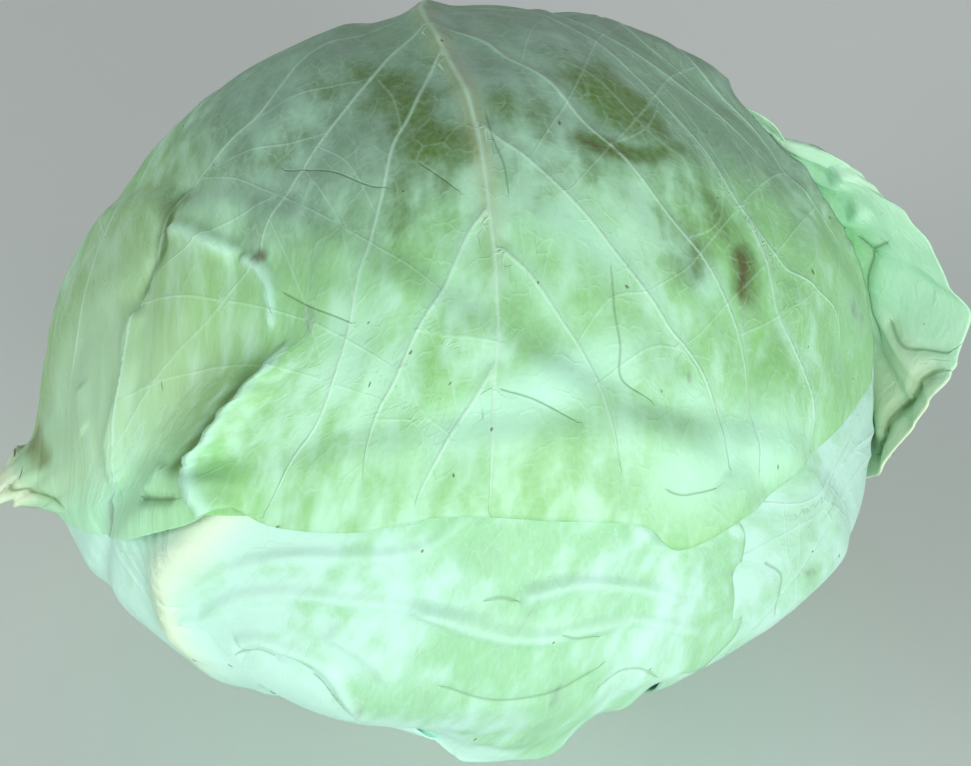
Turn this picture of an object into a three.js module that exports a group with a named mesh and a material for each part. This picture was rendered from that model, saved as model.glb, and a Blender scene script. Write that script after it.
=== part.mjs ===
// A whole head of white cabbage, upright on its cut stem. A dense heart of packed leaves sits on a
// short stem, and six large outer leaves wrap it. Each leaf has a thick midrib, raised side veins
// and free margins, and lies on the leaves beneath it with a small clearance.
// Millimetres, +Z up. The origin is the middle of the stem's flat cut face.
import * as THREE from 'three';

// The head's outer form, round its centre.
const HEAD_HALF_WIDTH = 98.5;
const HEAD_CENTRE_TO_CROWN = 106.5;
const HEAD_CENTRE_TO_UNDERSIDE = 50;
const CROWN_POWER = 2;
const UNDERSIDE_POWER = 1.7;
const CENTRE_HEIGHT = 70;
const LEAN_PER_HEIGHT = 0.065;
const BULGE_SPREAD = 0.12;
const BULGES = [
  { azimuth: 180, latitude: 24, height: 3.5 },
  { azimuth: -14, latitude: -2, height: 3.5 },
];

// How far the heart lies inside that form, by the sine of the latitude.
const HEART_DEPTHS = [[-1, 7.5], [0, 7], [0.45, 9], [0.95, 4.5]];
const HEART_RINGS = 22;
const HEART_SEGMENTS = 42;
const HEART_FOLDS = 5;
const HEART_FOLD_HEIGHT = 0.9;

// Leaf blades.
const BLADE_THICKNESS = 1.2;
const LEAF_GAP = 1;
const VEIN_HEIGHT = 0.9;
const VEIN_HALF_WIDTH = 0.13;
const VEIN_SWEEP = 1.45;
const VEIN_BEND = 1.4;
const TIP_SHARE = 4;
const RIB_CLEARANCE = 24;
const COVER_STARTS = 30;
const COVER_FULL = 15;
const OUTLINE_STEPS = 34;
const ROW_PHASES = [-0.24, 0, 0.24, 0.5];

// The stem.
const STEM_RADIUS = 17;
const STEM_NECK_RADIUS = 15.5;
const STEM_TOP_RADIUS = 16;
const STEM_HEIGHT = 24.5;
const STEM_EDGE = 1.2;
const STEM_SEGMENTS = 36;

// Angles are degrees: azimuth from +X towards +Y, then latitude above the head's centre.
function direction([azimuth, latitude]) {
  const turn = THREE.MathUtils.degToRad(azimuth);
  const rise = THREE.MathUtils.degToRad(latitude);
  return new THREE.Vector3(
    Math.cos(rise) * Math.cos(turn), Math.cos(rise) * Math.sin(turn), Math.sin(rise));
}

function sphereCurve(points) {
  return new THREE.CatmullRomCurve3(points.map(direction), false, 'centripetal');
}

function slerp(from, to, share) {
  const angle = from.angleTo(to);
  if (angle < 1e-6) {
    return from.clone();
  }
  return from.clone().multiplyScalar(Math.sin((1 - share) * angle))
    .addScaledVector(to, Math.sin(share * angle))
    .divideScalar(Math.sin(angle));
}

// The radius of the head's outer form: two half superellipsoids that meet at the widest line,
// with soft bulges.
function headRadius(way) {
  const crown = way.z >= 0;
  const height = crown ? HEAD_CENTRE_TO_CROWN : HEAD_CENTRE_TO_UNDERSIDE;
  const power = crown ? CROWN_POWER : UNDERSIDE_POWER;
  const across = Math.hypot(way.x, way.y) / HEAD_HALF_WIDTH;
  const along = Math.abs(way.z) / height;
  const form = (across ** power + along ** power) ** (-1 / power);
  return BULGES.reduce((radius, bulge) => {
    const nearness = way.dot(direction([bulge.azimuth, bulge.latitude]));
    return radius + bulge.height * Math.exp((nearness - 1) / BULGE_SPREAD);
  }, form);
}

function heartRadius(way) {
  const [depth] = keyed(HEART_DEPTHS, way.z);
  return headRadius(way) - depth;
}

// A point of the leaning head at a radius along a direction.
function headPoint(way, radius) {
  const point = way.clone().multiplyScalar(radius);
  point.x += LEAN_PER_HEIGHT * point.z;
  point.z += CENTRE_HEIGHT;
  return point;
}

// Values between keys of [t, ...numbers], eased from key to key.
function keyed(keys, t) {
  const last = keys.length - 1;
  let next = keys.findIndex((key) => key[0] > t);
  next = next < 0 ? last : Math.max(next, 1);
  const from = keys[next - 1];
  const to = keys[next];
  const share = THREE.MathUtils.smoothstep(t, from[0], to[0]);
  return from.slice(1).map((value, i) => THREE.MathUtils.lerp(value, to[i + 1], share));
}

// Each leaf is laid out on the head by rows from its base to its tip: the left margin, the midrib
// and the right margin, as seen from outside with the base down, then the tip margin from left to
// right. rib is the midrib's half width and height at base and tip. free is a stretch of margin
// that stands off the head: its side, where it starts between midrib (0) and margin (1), and the
// margin's shift in mm along the leaf. slit is a cut up from the tip, between two columns.
// The order is that in which the leaves lie on each other, from the innermost outwards.
const LEAF_PLANS = [
  {
    name: 'leaf_lower', colour: 0xd6f2e6, veins: 5, halfColumns: 7, extraGap: 0,
    rib: [[0, 8, 3], [1, 2, 0.5]],
    rows: [
      [[-94, -64], [-80, -66], [-66, -64]],
      [[-122, -42], [-80, -38], [-42, -42]],
      [[-137, -16], [-80, -12], [-28, -18]],
      [[-140, 6], [-80, 10], [-30, 2]],
      [[-122, 22], [-80, 28], [-42, 20]],
    ],
    tip: [[-122, 22], [-102, 31], [-80, 33], [-58, 29], [-42, 20]],
  },
  {
    name: 'leaf_back_left', colour: 0xc3e4b8, veins: 5, halfColumns: 7, extraGap: 0.3,
    rib: [[0, 9, 3.5], [1, 2, 0.5]],
    rows: [
      [[129, -64], [143, -66], [157, -64]],
      [[104, -42], [143, -35], [-178, -42]],
      [[90, -10], [145, 0], [-160, -16]],
      [[94, 22], [150, 32], [-148, 10]],
      [[120, 50], [165, 60], [-142, 36]],
    ],
    tip: [[120, 50], [142, 63], [172, 67], [-160, 57], [-142, 36]],
  },
  {
    name: 'leaf_right', colour: 0xcdf3d6, veins: 5, halfColumns: 7, extraGap: 0.3,
    rib: [[0, 9, 3.5], [1, 2, 0.5]],
    rows: [
      [[-9, -64], [5, -66], [19, -64]],
      [[-36, -40], [4, -34], [44, -42]],
      [[-60, -12], [2, -4], [54, -12]],
      [[-63, 8], [-4, 19], [46, 15]],
      [[-50, 23], [-12, 34], [28, 35]],
    ],
    tip: [[-50, 23], [-34, 33], [-12, 40], [10, 41], [28, 35]],
  },
  {
    name: 'leaf_front', colour: 0xc9f2d9, veins: 7, halfColumns: 9, extraGap: 0.8,
    rib: [[0, 10, 4], [0.45, 7.5, 4], [1, 2, 0.6]],
    rows: [
      [[-147, -64], [-132, -66], [-117, -64]],
      [[-165, -44], [-128, -44], [-117, -34]],
      [[-178, -28], [-126, -22], [-118, -8]],
      [[175, -12], [-125, -6], [-111, 3]],
      [[172, 2], [-130, 3], [-102, -6]],
      [[170, 12], [-132, 9], [-88, -24]],
      [[172, 22], [-130, 15], [-71, -16]],
      [[178, 32], [-128, 22], [-56, -4]],
      [[-172, 40], [-126, 32], [-49, 8]],
      [[-158, 46], [-124, 44], [-58, 26]],
    ],
    tip: [[-158, 46], [-142, 53], [-122, 53], [-98, 48], [-76, 38], [-58, 26]],
    free: {
      side: 1, fold: 0.7, power: 1.6,
      at: [
        [0.34, 0, 0, 0], [0.45, 0, -3, -1], [0.56, 0, -9, -5], [0.66, 1, -6, -3], [0.78, 0, -2, 0],
        [0.88, 0, 0, 0],
      ],
    },
  },
  {
    name: 'leaf_right_back', colour: 0xa9dca3, veins: 5, halfColumns: 9, extraGap: 0.3,
    rib: [[0, 9, 4], [1, 2, 0.5]],
    rows: [
      [[26, -64], [40, -66], [54, -64]],
      [[14, -42], [40, -34], [72, -44]],
      [[4, -18], [42, -6], [84, -16]],
      [[-8, 5], [43, 18], [84, 14]],
      [[0, 25], [42, 36], [78, 38]],
      [[12, 48], [40, 54], [66, 56]],
    ],
    tip: [[12, 48], [24, 60], [40, 64], [54, 62], [66, 56]],
    free: {
      side: -1, fold: 0.45, power: 1.3,
      at: [
        [0.4, 0, 0, 0], [0.56, 9, 6, -8], [0.66, 24, 8, -2], [0.78, 31, 10, 3], [0.87, 21, 6, 7],
        [0.97, 4, 0, 1], [1, 0, 0, 0],
      ],
    },
  },
  {
    name: 'leaf_top', colour: 0x9fd49a, veins: 9, halfColumns: 9, extraGap: 0.4,
    rib: [[0, 11, 5], [0.5, 6, 2.6], [1, 1.8, 0.4]],
    rows: [
      [[72, -64], [90, -66], [108, -64]],
      [[58, -40], [90, -28], [140, -40]],
      [[52, -5], [92, 12], [163, -16]],
      [[46, 32], [98, 46], [180, -4]],
      [[16, 54], [125, 76], [-170, -3]],
      [[4, 42], [-100, 78], [-164, 1]],
      [[-2, 28], [-87, 55], [-160, 2]],
      [[-16, 19], [-87, 26], [-156, 3]],
    ],
    tip: [
      [-16, 19], [-27, 20], [-43, 20], [-55, 19], [-63, 18], [-67, 22], [-80, 25], [-93, 26],
      [-105, 23], [-117, 21], [-127, 18], [-138, 11], [-148, 6], [-156, 3],
    ],
    free: {
      side: 1, fold: 0.86, power: 1.4,
      at: [[0.55, 0, 0, 0], [0.7, -12, -2, -1], [0.82, -15, -4, 1], [0.93, 0, 0, 0]],
    },
    slit: { column: 5, from: 0.86, overlap: 0.05, lift: 3.4 },
  },
];

// A leaf blade as a grid over its plan: side runs from the left margin (-1) over the midrib (0)
// to the right margin (1), and t from the base (0) to the tip (1).
class Leaf {
  constructor(plan, beneath) {
    this.plan = plan;
    this.beneath = beneath;
    this.left = sphereCurve(plan.rows.map((row) => row[0]));
    this.middle = sphereCurve(plan.rows.map((row) => row[1]));
    this.right = sphereCurve(plan.rows.map((row) => row[2]));
    this.tip = sphereCurve(plan.tip);
    this.outline = this.traceOutline();
    this.ribLine = Array.from({ length: OUTLINE_STEPS + 1 }, (_, i) => this.way(0, i / OUTLINE_STEPS));
    this.centre = this.way(0, 0.5);
  }

  // The direction from the head's centre at a place on the leaf. Rows are great arcs from the
  // midrib to the margin, and the last ones bend onto the tip margin.
  way(side, t) {
    const margin = side < 0 ? this.left : this.right;
    const share = Math.abs(side);
    const row = slerp(this.middle.getPoint(t).normalize(), margin.getPoint(t).normalize(), share);
    const lastRow = slerp(this.middle.getPoint(1).normalize(), margin.getPoint(1).normalize(), share);
    const tip = this.tip.getPointAt(THREE.MathUtils.clamp((side + 1) / 2, 0, 1)).normalize();
    return row.addScaledVector(tip.sub(lastRow), t ** TIP_SHARE).normalize();
  }

  traceOutline() {
    const steps = Array.from({ length: OUTLINE_STEPS }, (_, i) => i / OUTLINE_STEPS);
    return [
      ...steps.map((f) => this.way(-1 + 2 * f, 0)),
      ...steps.map((f) => this.way(1, f)),
      ...steps.map((f) => this.way(1 - 2 * f, 1)),
      ...steps.map((f) => this.way(-1, 1 - f)),
    ];
  }

  // Where the direction falls on a plane seen from the point opposite the leaf's centre.
  flatten(way) {
    const across = new THREE.Vector3(-this.centre.y, this.centre.x, 0).normalize();
    const up = this.centre.clone().cross(across);
    const scale = 1 / (1 + way.dot(this.centre));
    return new THREE.Vector2(way.dot(across) * scale, way.dot(up) * scale);
  }

  holds(way) {
    const spot = this.flatten(way);
    this.flatOutline ??= this.outline.map((point) => this.flatten(point));
    let inside = false;
    this.flatOutline.forEach((a, i) => {
      const b = this.flatOutline[(i + 1) % this.flatOutline.length];
      const crosses = (a.y > spot.y) !== (b.y > spot.y);
      if (crosses && spot.x < a.x + (b.x - a.x) * (spot.y - a.y) / (b.y - a.y)) {
        inside = !inside;
      }
    });
    return inside;
  }

  // How much this leaf raises the leaves that lie over it: its blade and vein height within
  // its outline and a soft step round it, and its midrib with a wide foot.
  cover(way) {
    const nearest = (line) => line.reduce(
      (best, point, i) => (point.distanceTo(way) < best.reach ? { reach: point.distanceTo(way), i } : best),
      { reach: Infinity, i: 0 });
    const edge = nearest(this.outline).reach * HEAD_HALF_WIDTH;
    const full = this.holds(way) ? 1 : THREE.MathUtils.smoothstep(-edge, -COVER_STARTS, -COVER_FULL);
    const rib = nearest(this.ribLine);
    const [, ribHeight] = keyed(this.plan.rib, rib.i / OUTLINE_STEPS);
    const foot = 1 - THREE.MathUtils.smoothstep(rib.reach * HEAD_HALF_WIDTH, RIB_CLEARANCE / 2, RIB_CLEARANCE);
    return full * (LEAF_GAP + this.plan.extraGap + BLADE_THICKNESS + VEIN_HEIGHT) + ribHeight * foot;
  }

  // How far the free part of a margin stands off its place on the head.
  freeShift(side, t) {
    const shift = new THREE.Vector3();
    const { free } = this.plan;
    if (free && side * free.side > free.fold) {
      const share = ((side * free.side - free.fold) / (1 - free.fold)) ** free.power;
      shift.set(...keyed(free.at, THREE.MathUtils.clamp(t, free.at[0][0], free.at.at(-1)[0])));
      shift.multiplyScalar(share);
    }
    return shift;
  }

  halfWidth(side, t) {
    const margin = side < 0 ? this.left : this.right;
    return this.middle.getPoint(t).angleTo(margin.getPoint(t)) * HEAD_HALF_WIDTH;
  }

  // One place of the grid: its point on the inner face and the blade's thickness there.
  // phase counts the side veins along the midrib, and rows sweep forward as the veins do.
  place(column, phase) {
    const { veins, halfColumns, rib } = this.plan;
    const along = phase / veins;
    const steps = Math.abs(column);
    const sign = Math.sign(column);
    const [ribHalf, ribHeight] = keyed(rib, along);
    const foot = Math.min(0.5, 1.3 * ribHalf / Math.max(this.halfWidth(sign, along), ribHalf));
    const share = steps === 0 ? 0 : foot + (1 - foot) * (steps - 1) / (halfColumns - 1);
    const swept = 1 - (1 - along) ** VEIN_SWEEP;
    const t = THREE.MathUtils.lerp(along, swept, share ** VEIN_BEND);
    const side = sign * share;
    const ridgeReach = (phase - 0.5 - Math.round(phase - 0.5)) / VEIN_HALF_WIDTH;
    const ridgeFade = THREE.MathUtils.smoothstep(1 - share, 0, 0.5) * (along > 0 && along < 1 ? 1 : 0);
    const ribReach = share * this.halfWidth(sign, along) / ribHalf;
    const thickness = BLADE_THICKNESS
      + VEIN_HEIGHT * ridgeFade * Math.exp(-ridgeReach * ridgeReach)
      + ribHeight * Math.exp(-ribReach * ribReach);
    return { side, t, thickness };
  }

  innerPoint(side, t) {
    const way = this.way(side, t);
    const lowest = heartRadius(way) + LEAF_GAP + this.plan.extraGap;
    const radius = this.beneath.reduce((sum, leaf) => sum + leaf.cover(way), lowest);
    return headPoint(way, radius).add(this.freeShift(side, t));
  }

  // The closed blade: inner and outer faces split alike, joined round every edge.
  geometry() {
    const { veins, halfColumns, slit } = this.plan;
    const phases = [0];
    for (let vein = 0; vein < veins; vein += 1) {
      phases.push(...ROW_PHASES.map((step) => vein + 0.5 + step));
    }
    phases[phases.length - 1] = veins;
    const columns = Array.from({ length: 2 * halfColumns + 1 }, (_, i) => i - halfColumns);
    const inner = [];
    const thickness = [];
    const addPlace = (place, shiftSide = 0) => {
      inner.push(this.innerPoint(place.side + shiftSide, place.t));
      thickness.push(place.thickness);
      return inner.length - 1;
    };
    const grid = phases.map((phase) => columns.map((column) => addPlace(this.place(column, phase))));

    // Beside a slit the far part has its own edge, which lies under the near part.
    const slitColumn = slit ? columns.indexOf(slit.column) : -1;
    const farEdge = grid.map((row) => (slit ? row[slitColumn] : 0));
    const raised = new Map();
    if (slit) {
      phases.forEach((phase, i) => {
        const place = this.place(slit.column, phase);
        if (place.t > slit.from) {
          const open = THREE.MathUtils.smoothstep(place.t, slit.from, 1);
          farEdge[i] = addPlace(place, -slit.overlap * open);
          raised.set(grid[i][slitColumn], slit.lift * Math.sqrt(open));
        }
      });
    }
    const corner = (i, j, nearSide) => (j === slitColumn && !nearSide ? farEdge[i] : grid[i][j]);
    const faces = [];
    for (let i = 0; i < phases.length - 1; i += 1) {
      for (let j = 0; j < columns.length - 1; j += 1) {
        const lowLeft = corner(i, j, false);
        const lowRight = corner(i, j + 1, true);
        const highRight = corner(i + 1, j + 1, true);
        const highLeft = corner(i + 1, j, false);
        faces.push([lowLeft, lowRight, highRight], [lowLeft, highRight, highLeft]);
      }
    }

    const normals = inner.map(() => new THREE.Vector3());
    faces.forEach(([a, b, c]) => {
      const normal = inner[b].clone().sub(inner[a]).cross(inner[c].clone().sub(inner[a]));
      [a, b, c].forEach((corner3) => normals[corner3].add(normal));
    });
    normals.forEach((normal) => normal.normalize());
    raised.forEach((height, i) => inner[i].addScaledVector(normals[i], height));
    const outer = inner.map((point, i) => point.clone().addScaledVector(normals[i], thickness[i]));
    return closedBlade(outer, inner, faces);
  }
}

// Two faces with the same triangles, joined by a rim along every edge that only one triangle uses.
function closedBlade(outer, inner, faces) {
  const count = outer.length;
  const edges = new Set(faces.flatMap(([a, b, c]) => [`${a}_${b}`, `${b}_${c}`, `${c}_${a}`]));
  const triangles = [];
  faces.forEach(([a, b, c]) => triangles.push(a, b, c, a + count, c + count, b + count));
  edges.forEach((edge) => {
    const [a, b] = edge.split('_').map(Number);
    if (!edges.has(`${b}_${a}`)) {
      triangles.push(b, a, a + count, b, a + count, b + count);
    }
  });
  return meshGeometry([...outer, ...inner], triangles);
}

function meshGeometry(points, triangles) {
  const geometry = new THREE.BufferGeometry();
  geometry.setFromPoints(points);
  geometry.setIndex(triangles);
  geometry.computeVertexNormals();
  return geometry;
}

// The heart: the head's form, shrunk, with the soft spiral folds of the leaves packed in it.
function heartGeometry() {
  const points = [];
  const triangles = [];
  const foldHeight = (turn, rise) => {
    const fade = Math.cos(rise) ** 2;
    return HEART_FOLD_HEIGHT * fade * (Math.cos(HEART_FOLDS * turn + 4 * rise) - 1) / 2;
  };
  const place = (turn, rise) => {
    const way = new THREE.Vector3(
      Math.cos(rise) * Math.cos(turn), Math.cos(rise) * Math.sin(turn), Math.sin(rise));
    return headPoint(way, heartRadius(way) + foldHeight(turn, rise));
  };
  points.push(place(0, -Math.PI / 2));
  for (let ring = 1; ring < HEART_RINGS; ring += 1) {
    for (let segment = 0; segment < HEART_SEGMENTS; segment += 1) {
      const turn = 2 * Math.PI * segment / HEART_SEGMENTS;
      points.push(place(turn, Math.PI * (ring / HEART_RINGS - 0.5)));
    }
  }
  points.push(place(0, Math.PI / 2));
  const top = points.length - 1;
  const at = (ring, segment) => 1 + (ring - 1) * HEART_SEGMENTS + segment % HEART_SEGMENTS;
  for (let segment = 0; segment < HEART_SEGMENTS; segment += 1) {
    triangles.push(0, at(1, segment + 1), at(1, segment));
    triangles.push(top, at(HEART_RINGS - 1, segment), at(HEART_RINGS - 1, segment + 1));
    for (let ring = 1; ring < HEART_RINGS - 1; ring += 1) {
      const low = at(ring, segment);
      const lowNext = at(ring, segment + 1);
      const high = at(ring + 1, segment);
      const highNext = at(ring + 1, segment + 1);
      triangles.push(low, lowNext, highNext, low, highNext, high);
    }
  }
  return meshGeometry(points, triangles);
}

// The stem: a short stump with a flat cut face and a slight neck under the heart.
function stemGeometry() {
  const profile = [
    [0, 0], [STEM_RADIUS - STEM_EDGE, 0], [STEM_RADIUS, STEM_EDGE], [STEM_RADIUS - 0.4, 6],
    [STEM_NECK_RADIUS, 14], [STEM_NECK_RADIUS, 19], [STEM_TOP_RADIUS, STEM_HEIGHT - 1],
    [STEM_TOP_RADIUS - 1, STEM_HEIGHT], [0, STEM_HEIGHT],
  ].map(([radius, height]) => new THREE.Vector2(radius, height));
  const lathe = new THREE.LatheGeometry(profile, STEM_SEGMENTS);
  lathe.rotateX(Math.PI / 2);
  return lathe;
}

function part(name, geometry, colour, roughness) {
  const material = new THREE.MeshStandardMaterial({ color: colour, roughness, metalness: 0 });
  const mesh = new THREE.Mesh(geometry, material);
  mesh.name = name;
  return mesh;
}

const cabbage = new THREE.Group();
cabbage.add(part('stem', stemGeometry(), 0xe6ecc4, 0.7));
cabbage.add(part('heart', heartGeometry(), 0xd9f0d2, 0.5));
const leaves = [];
for (const plan of LEAF_PLANS) {
  const leaf = new Leaf(plan, [...leaves]);
  cabbage.add(part(plan.name, leaf.geometry(), plan.colour, 0.45));
  leaves.push(leaf);
}

export default cabbage;
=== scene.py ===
"""A whole head of smooth white cabbage, standing on its cut stem on a plain pale floor.

The head is a dense heart on a short stem, wrapped by six large outer leaves. Lengths in the leaf
sections are millimetres until a mesh is made, and directions from the head's centre are degrees:
azimuth from +X towards +Y, then latitude.
"""

import bpy
import numpy as np
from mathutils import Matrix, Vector


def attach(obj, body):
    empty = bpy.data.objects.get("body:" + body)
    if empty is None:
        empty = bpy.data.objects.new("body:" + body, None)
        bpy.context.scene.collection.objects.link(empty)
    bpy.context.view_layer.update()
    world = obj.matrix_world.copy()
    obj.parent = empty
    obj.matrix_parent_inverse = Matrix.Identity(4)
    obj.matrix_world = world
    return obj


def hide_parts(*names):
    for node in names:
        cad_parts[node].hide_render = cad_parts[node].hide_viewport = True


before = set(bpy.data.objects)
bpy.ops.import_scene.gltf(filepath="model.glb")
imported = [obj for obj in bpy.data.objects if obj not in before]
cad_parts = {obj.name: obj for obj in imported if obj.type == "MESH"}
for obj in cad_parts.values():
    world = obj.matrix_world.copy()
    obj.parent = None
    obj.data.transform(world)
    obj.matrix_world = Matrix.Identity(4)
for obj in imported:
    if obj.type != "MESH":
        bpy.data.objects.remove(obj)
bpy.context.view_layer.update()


# Floor, light and camera
# The head stands on a plain matt floor. Square lamps stand low at the front, the left and the
# right, and higher at the back, so the lower front is brightest. A weak pale sky fills the shadows.
PHOTO_WIDTH_PX = 971
FOCAL_LENGTH_PX = 2480
SENSOR_WIDTH_MM = 36
CAMERA_ELEVATION = np.radians(35)
CAMERA_DISTANCE = 0.62
CAMERA_TARGET = np.array([0.0059, 0.00674, 0.07963])
LAMPS = {
    "key_lamp": dict(at=(0.69, -2.02, 0.36), size=0.7, watts=28.0, tint=(0.95, 1.0, 0.98)),
    "side_lamp": dict(at=(-1.58, -0.83, 0.59), size=1.1, watts=14.0, tint=(0.97, 1.0, 0.98)),
    "low_lamp": dict(at=(1.57, -1.05, 0.25), size=0.45, watts=7.0, tint=(1.0, 1.0, 0.96)),
    "back_lamp": dict(at=(0.3, 1.2, 0.8), size=1.0, watts=2.5, tint=(1.0, 1.0, 1.0)),
}
SKY = (0.88, 0.95, 0.94, 1)
SKY_STRENGTH = 0.27
FLOOR_HALF_WIDTH = 3.0
FLOOR_CORNERS = [(-1, -1, 0), (1, -1, 0), (1, 1, 0), (-1, 1, 0)]
FLOOR_ROUGHNESS = 0.8
FLOOR_MOTTLE_PER_METRE = 9.0


def shine(name, at, size, watts, tint):
    """A square lamp that faces the middle of the head."""
    lamp = bpy.data.lights.new(name, "AREA")
    lamp.size = size
    lamp.energy = watts
    lamp.color = tint
    holder = bpy.data.objects.new(name, lamp)
    holder.location = at
    holder.rotation_euler = (Vector(at) - Vector(CAMERA_TARGET)).to_track_quat("Z", "Y").to_euler()
    bpy.context.scene.collection.objects.link(holder)


for lamp_name, lamp_facts in LAMPS.items():
    shine(lamp_name, **lamp_facts)

sky = bpy.data.worlds.new("pale_sky")
sky.use_nodes = True
sky.node_tree.nodes["Background"].inputs["Color"].default_value = SKY
sky.node_tree.nodes["Background"].inputs["Strength"].default_value = SKY_STRENGTH
bpy.context.scene.world = sky
bpy.context.scene.view_settings.view_transform = "Standard"

lens = bpy.data.cameras.new("photo_camera")
lens.sensor_width = SENSOR_WIDTH_MM
lens.lens = SENSOR_WIDTH_MM * FOCAL_LENGTH_PX / PHOTO_WIDTH_PX
camera = bpy.data.objects.new("photo_camera", lens)
to_camera = np.array([0, -np.cos(CAMERA_ELEVATION), np.sin(CAMERA_ELEVATION)])
camera.location = CAMERA_TARGET + CAMERA_DISTANCE * to_camera
camera.rotation_euler = (np.pi / 2 - CAMERA_ELEVATION, 0, 0)
bpy.context.scene.collection.objects.link(camera)
bpy.context.scene.camera = camera


class Field:
    """A number, colour or direction that varies over a surface, held by one shader socket."""

    def __init__(self, tree, socket=None):
        self.tree = tree
        self.socket = socket

    def make(self, kind, settings=None, values=None, output=0):
        """Adds a node: its settings first, then a number, colour or link for each socket."""
        node = self.tree.nodes.new(kind)
        for setting, value in (settings or {}).items():
            setattr(node, setting, value)
        for key, value in (values or {}).items():
            if isinstance(value, Field):
                self.tree.links.new(value.socket, node.inputs[key])
            else:
                node.inputs[key].default_value = value
        return Field(self.tree, node.outputs[output])

    def maths(self, operation, *values):
        """One maths node, on fields or plain numbers."""
        return self.make("ShaderNodeMath", {"operation": operation}, dict(enumerate(values)))

    def __add__(self, other):
        return self.maths("ADD", self, other)

    def __sub__(self, other):
        return self.maths("SUBTRACT", self, other)

    def __rsub__(self, other):
        return self.maths("SUBTRACT", other, self)

    def __mul__(self, other):
        return self.maths("MULTIPLY", self, other)

    __radd__ = __add__
    __rmul__ = __mul__

    def between(self, low, high):
        """0 below low, 1 above high, and an S-shaped step from one to the other."""
        settings = {"interpolation_type": "SMOOTHSTEP"}
        values = {"Value": self, "From Min": low, "From Max": high}
        return self.make("ShaderNodeMapRange", settings, values)

    def also(self, output):
        """Another output of the node that this one comes from."""
        return Field(self.tree, self.socket.node.outputs[output])

    def choose(self, first, second):
        """The first colour where this share is 0, the second where it is 1, mixed between."""
        return self.make("ShaderNodeMix", {"data_type": "RGBA"}, {0: self, 6: first, 7: second}, 2)

    def tinted(self, share, colour):
        """This colour, turned into another one by a share from 0 to 1."""
        return share.choose(self, colour)

    def stretched(self, *factors):
        """This place, with a factor on each axis."""
        return self.make("ShaderNodeVectorMath", {"operation": "MULTIPLY"}, {0: self, 1: factors})

    def shifted(self, other, reach):
        """This place, moved by another vector, centred on a half, times a reach."""
        centred = self.make(
            "ShaderNodeVectorMath", {"operation": "SUBTRACT"}, {0: other, 1: (0.5, 0.5, 0.5)})
        scaled = self.make(
            "ShaderNodeVectorMath", {"operation": "SCALE"}, {0: centred, "Scale": reach})
        return self.make("ShaderNodeVectorMath", {"operation": "ADD"}, {0: self, 1: scaled})

    def bump(self, strength, distance):
        """The surface direction that this height gives. The distance is in metres."""
        values = {"Strength": strength, "Distance": distance, "Height": self}
        return self.make("ShaderNodeBump", {}, values)

    def noise(self, per_metre, detail=2.0, flat=False):
        """Cloudy noise from 0 to 1 at this place, or on a plane where flat."""
        values = {"Vector": self, "Scale": per_metre, "Detail": detail}
        settings = {"noise_dimensions": "2D" if flat else "3D"}
        return self.make("ShaderNodeTexNoise", settings, values)

    def cells(self, per_metre, feature, flat=False):
        """Random cells at this place: F1 is the distance to the nearest cell's point, and
        DISTANCE_TO_EDGE the distance to its border."""
        values = {"Vector": self, "Scale": per_metre}
        settings = {"feature": feature, "voronoi_dimensions": "2D" if flat else "3D"}
        return self.make("ShaderNodeTexVoronoi", settings, values)


def screen_colour(red, green, blue):
    """A colour as seen on a screen, 0 to 255, as the linear values that a shader takes."""
    share = np.array([red, green, blue]) / 255
    linear = np.where(share <= 0.04045, share / 12.92, ((share + 0.055) / 1.055) ** 2.4)
    return (*linear.tolist(), 1.0)


def start_material(name):
    """A new material, its main shader's sockets, and its place field in object coordinates."""
    material = bpy.data.materials.new(name)
    material.use_nodes = True
    tree = material.node_tree
    shader = tree.nodes["Principled BSDF"]
    place = Field(tree).make("ShaderNodeTexCoord", {}, {}, "Object")
    return material, shader.inputs, place


def connect(socket, field):
    """Feeds a field into a shader's socket."""
    field.tree.links.new(field.socket, socket)


FLOOR_COLOURS = screen_colour(234, 238, 236), screen_colour(240, 243, 242)


def floor_material():
    """Matt paint, with a faint broad mottle of noise between two pale greys."""
    material, shader, place = start_material("matt_floor")
    connect(shader["Base Color"], place.noise(FLOOR_MOTTLE_PER_METRE).choose(*FLOOR_COLOURS))
    shader["Roughness"].default_value = FLOOR_ROUGHNESS
    return material


floor_mesh = bpy.data.meshes.new("floor")
floor_points = np.array(FLOOR_CORNERS) * FLOOR_HALF_WIDTH
floor_mesh.from_pydata(floor_points.tolist(), [], [(0, 1, 2, 3)])
floor_mesh.materials.append(floor_material())
floor = bpy.data.objects.new("floor", floor_mesh)
bpy.context.scene.collection.objects.link(floor)


# Stem
# The stump of the stalk that the head grew on, of white crisp flesh with a fibrous rind. It was cut
# across with a knife, and the cut face has dried a little, with a ring of bundles round its pith.
STEM_PROFILE_MM = [
    (0, 0), (14.5, 0), (15.8, 0.15), (16.6, 0.8), (17, 2), (16.8, 6), (15.8, 12), (15.6, 18),
    (15.9, 23.4), (15, 24.4), (0, 24.4),
]
STEM_RINGS = 90
STEM_SEGMENTS = 160
STEM_WALL_TOP = 23.4
STEM_RIBS = 31
LEAF_SCARS = 5
FIRST_SCAR = 6
SCAR_SPACING = 3.4
SCAR_TILT = 1.2
SCAR_HEIGHT = 0.9
STEM_MOST_RADIUS = 17.0
GOLDEN_ANGLE = np.pi * (3 - 5 ** 0.5)
STEM_FLESH = screen_colour(232, 240, 205), screen_colour(205, 222, 168)
STEM_FIBRE = screen_colour(176, 196, 128)
STEM_RING = screen_colour(188, 186, 120)
STEM_DRIED = screen_colour(186, 160, 108)
STEM_ROUGHNESS = 0.62


def bell(value, width):
    """A bell curve, 1 where the value is 0: e to the power of minus the square of value over
    width."""
    return np.exp(-(value / width) ** 2)


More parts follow.
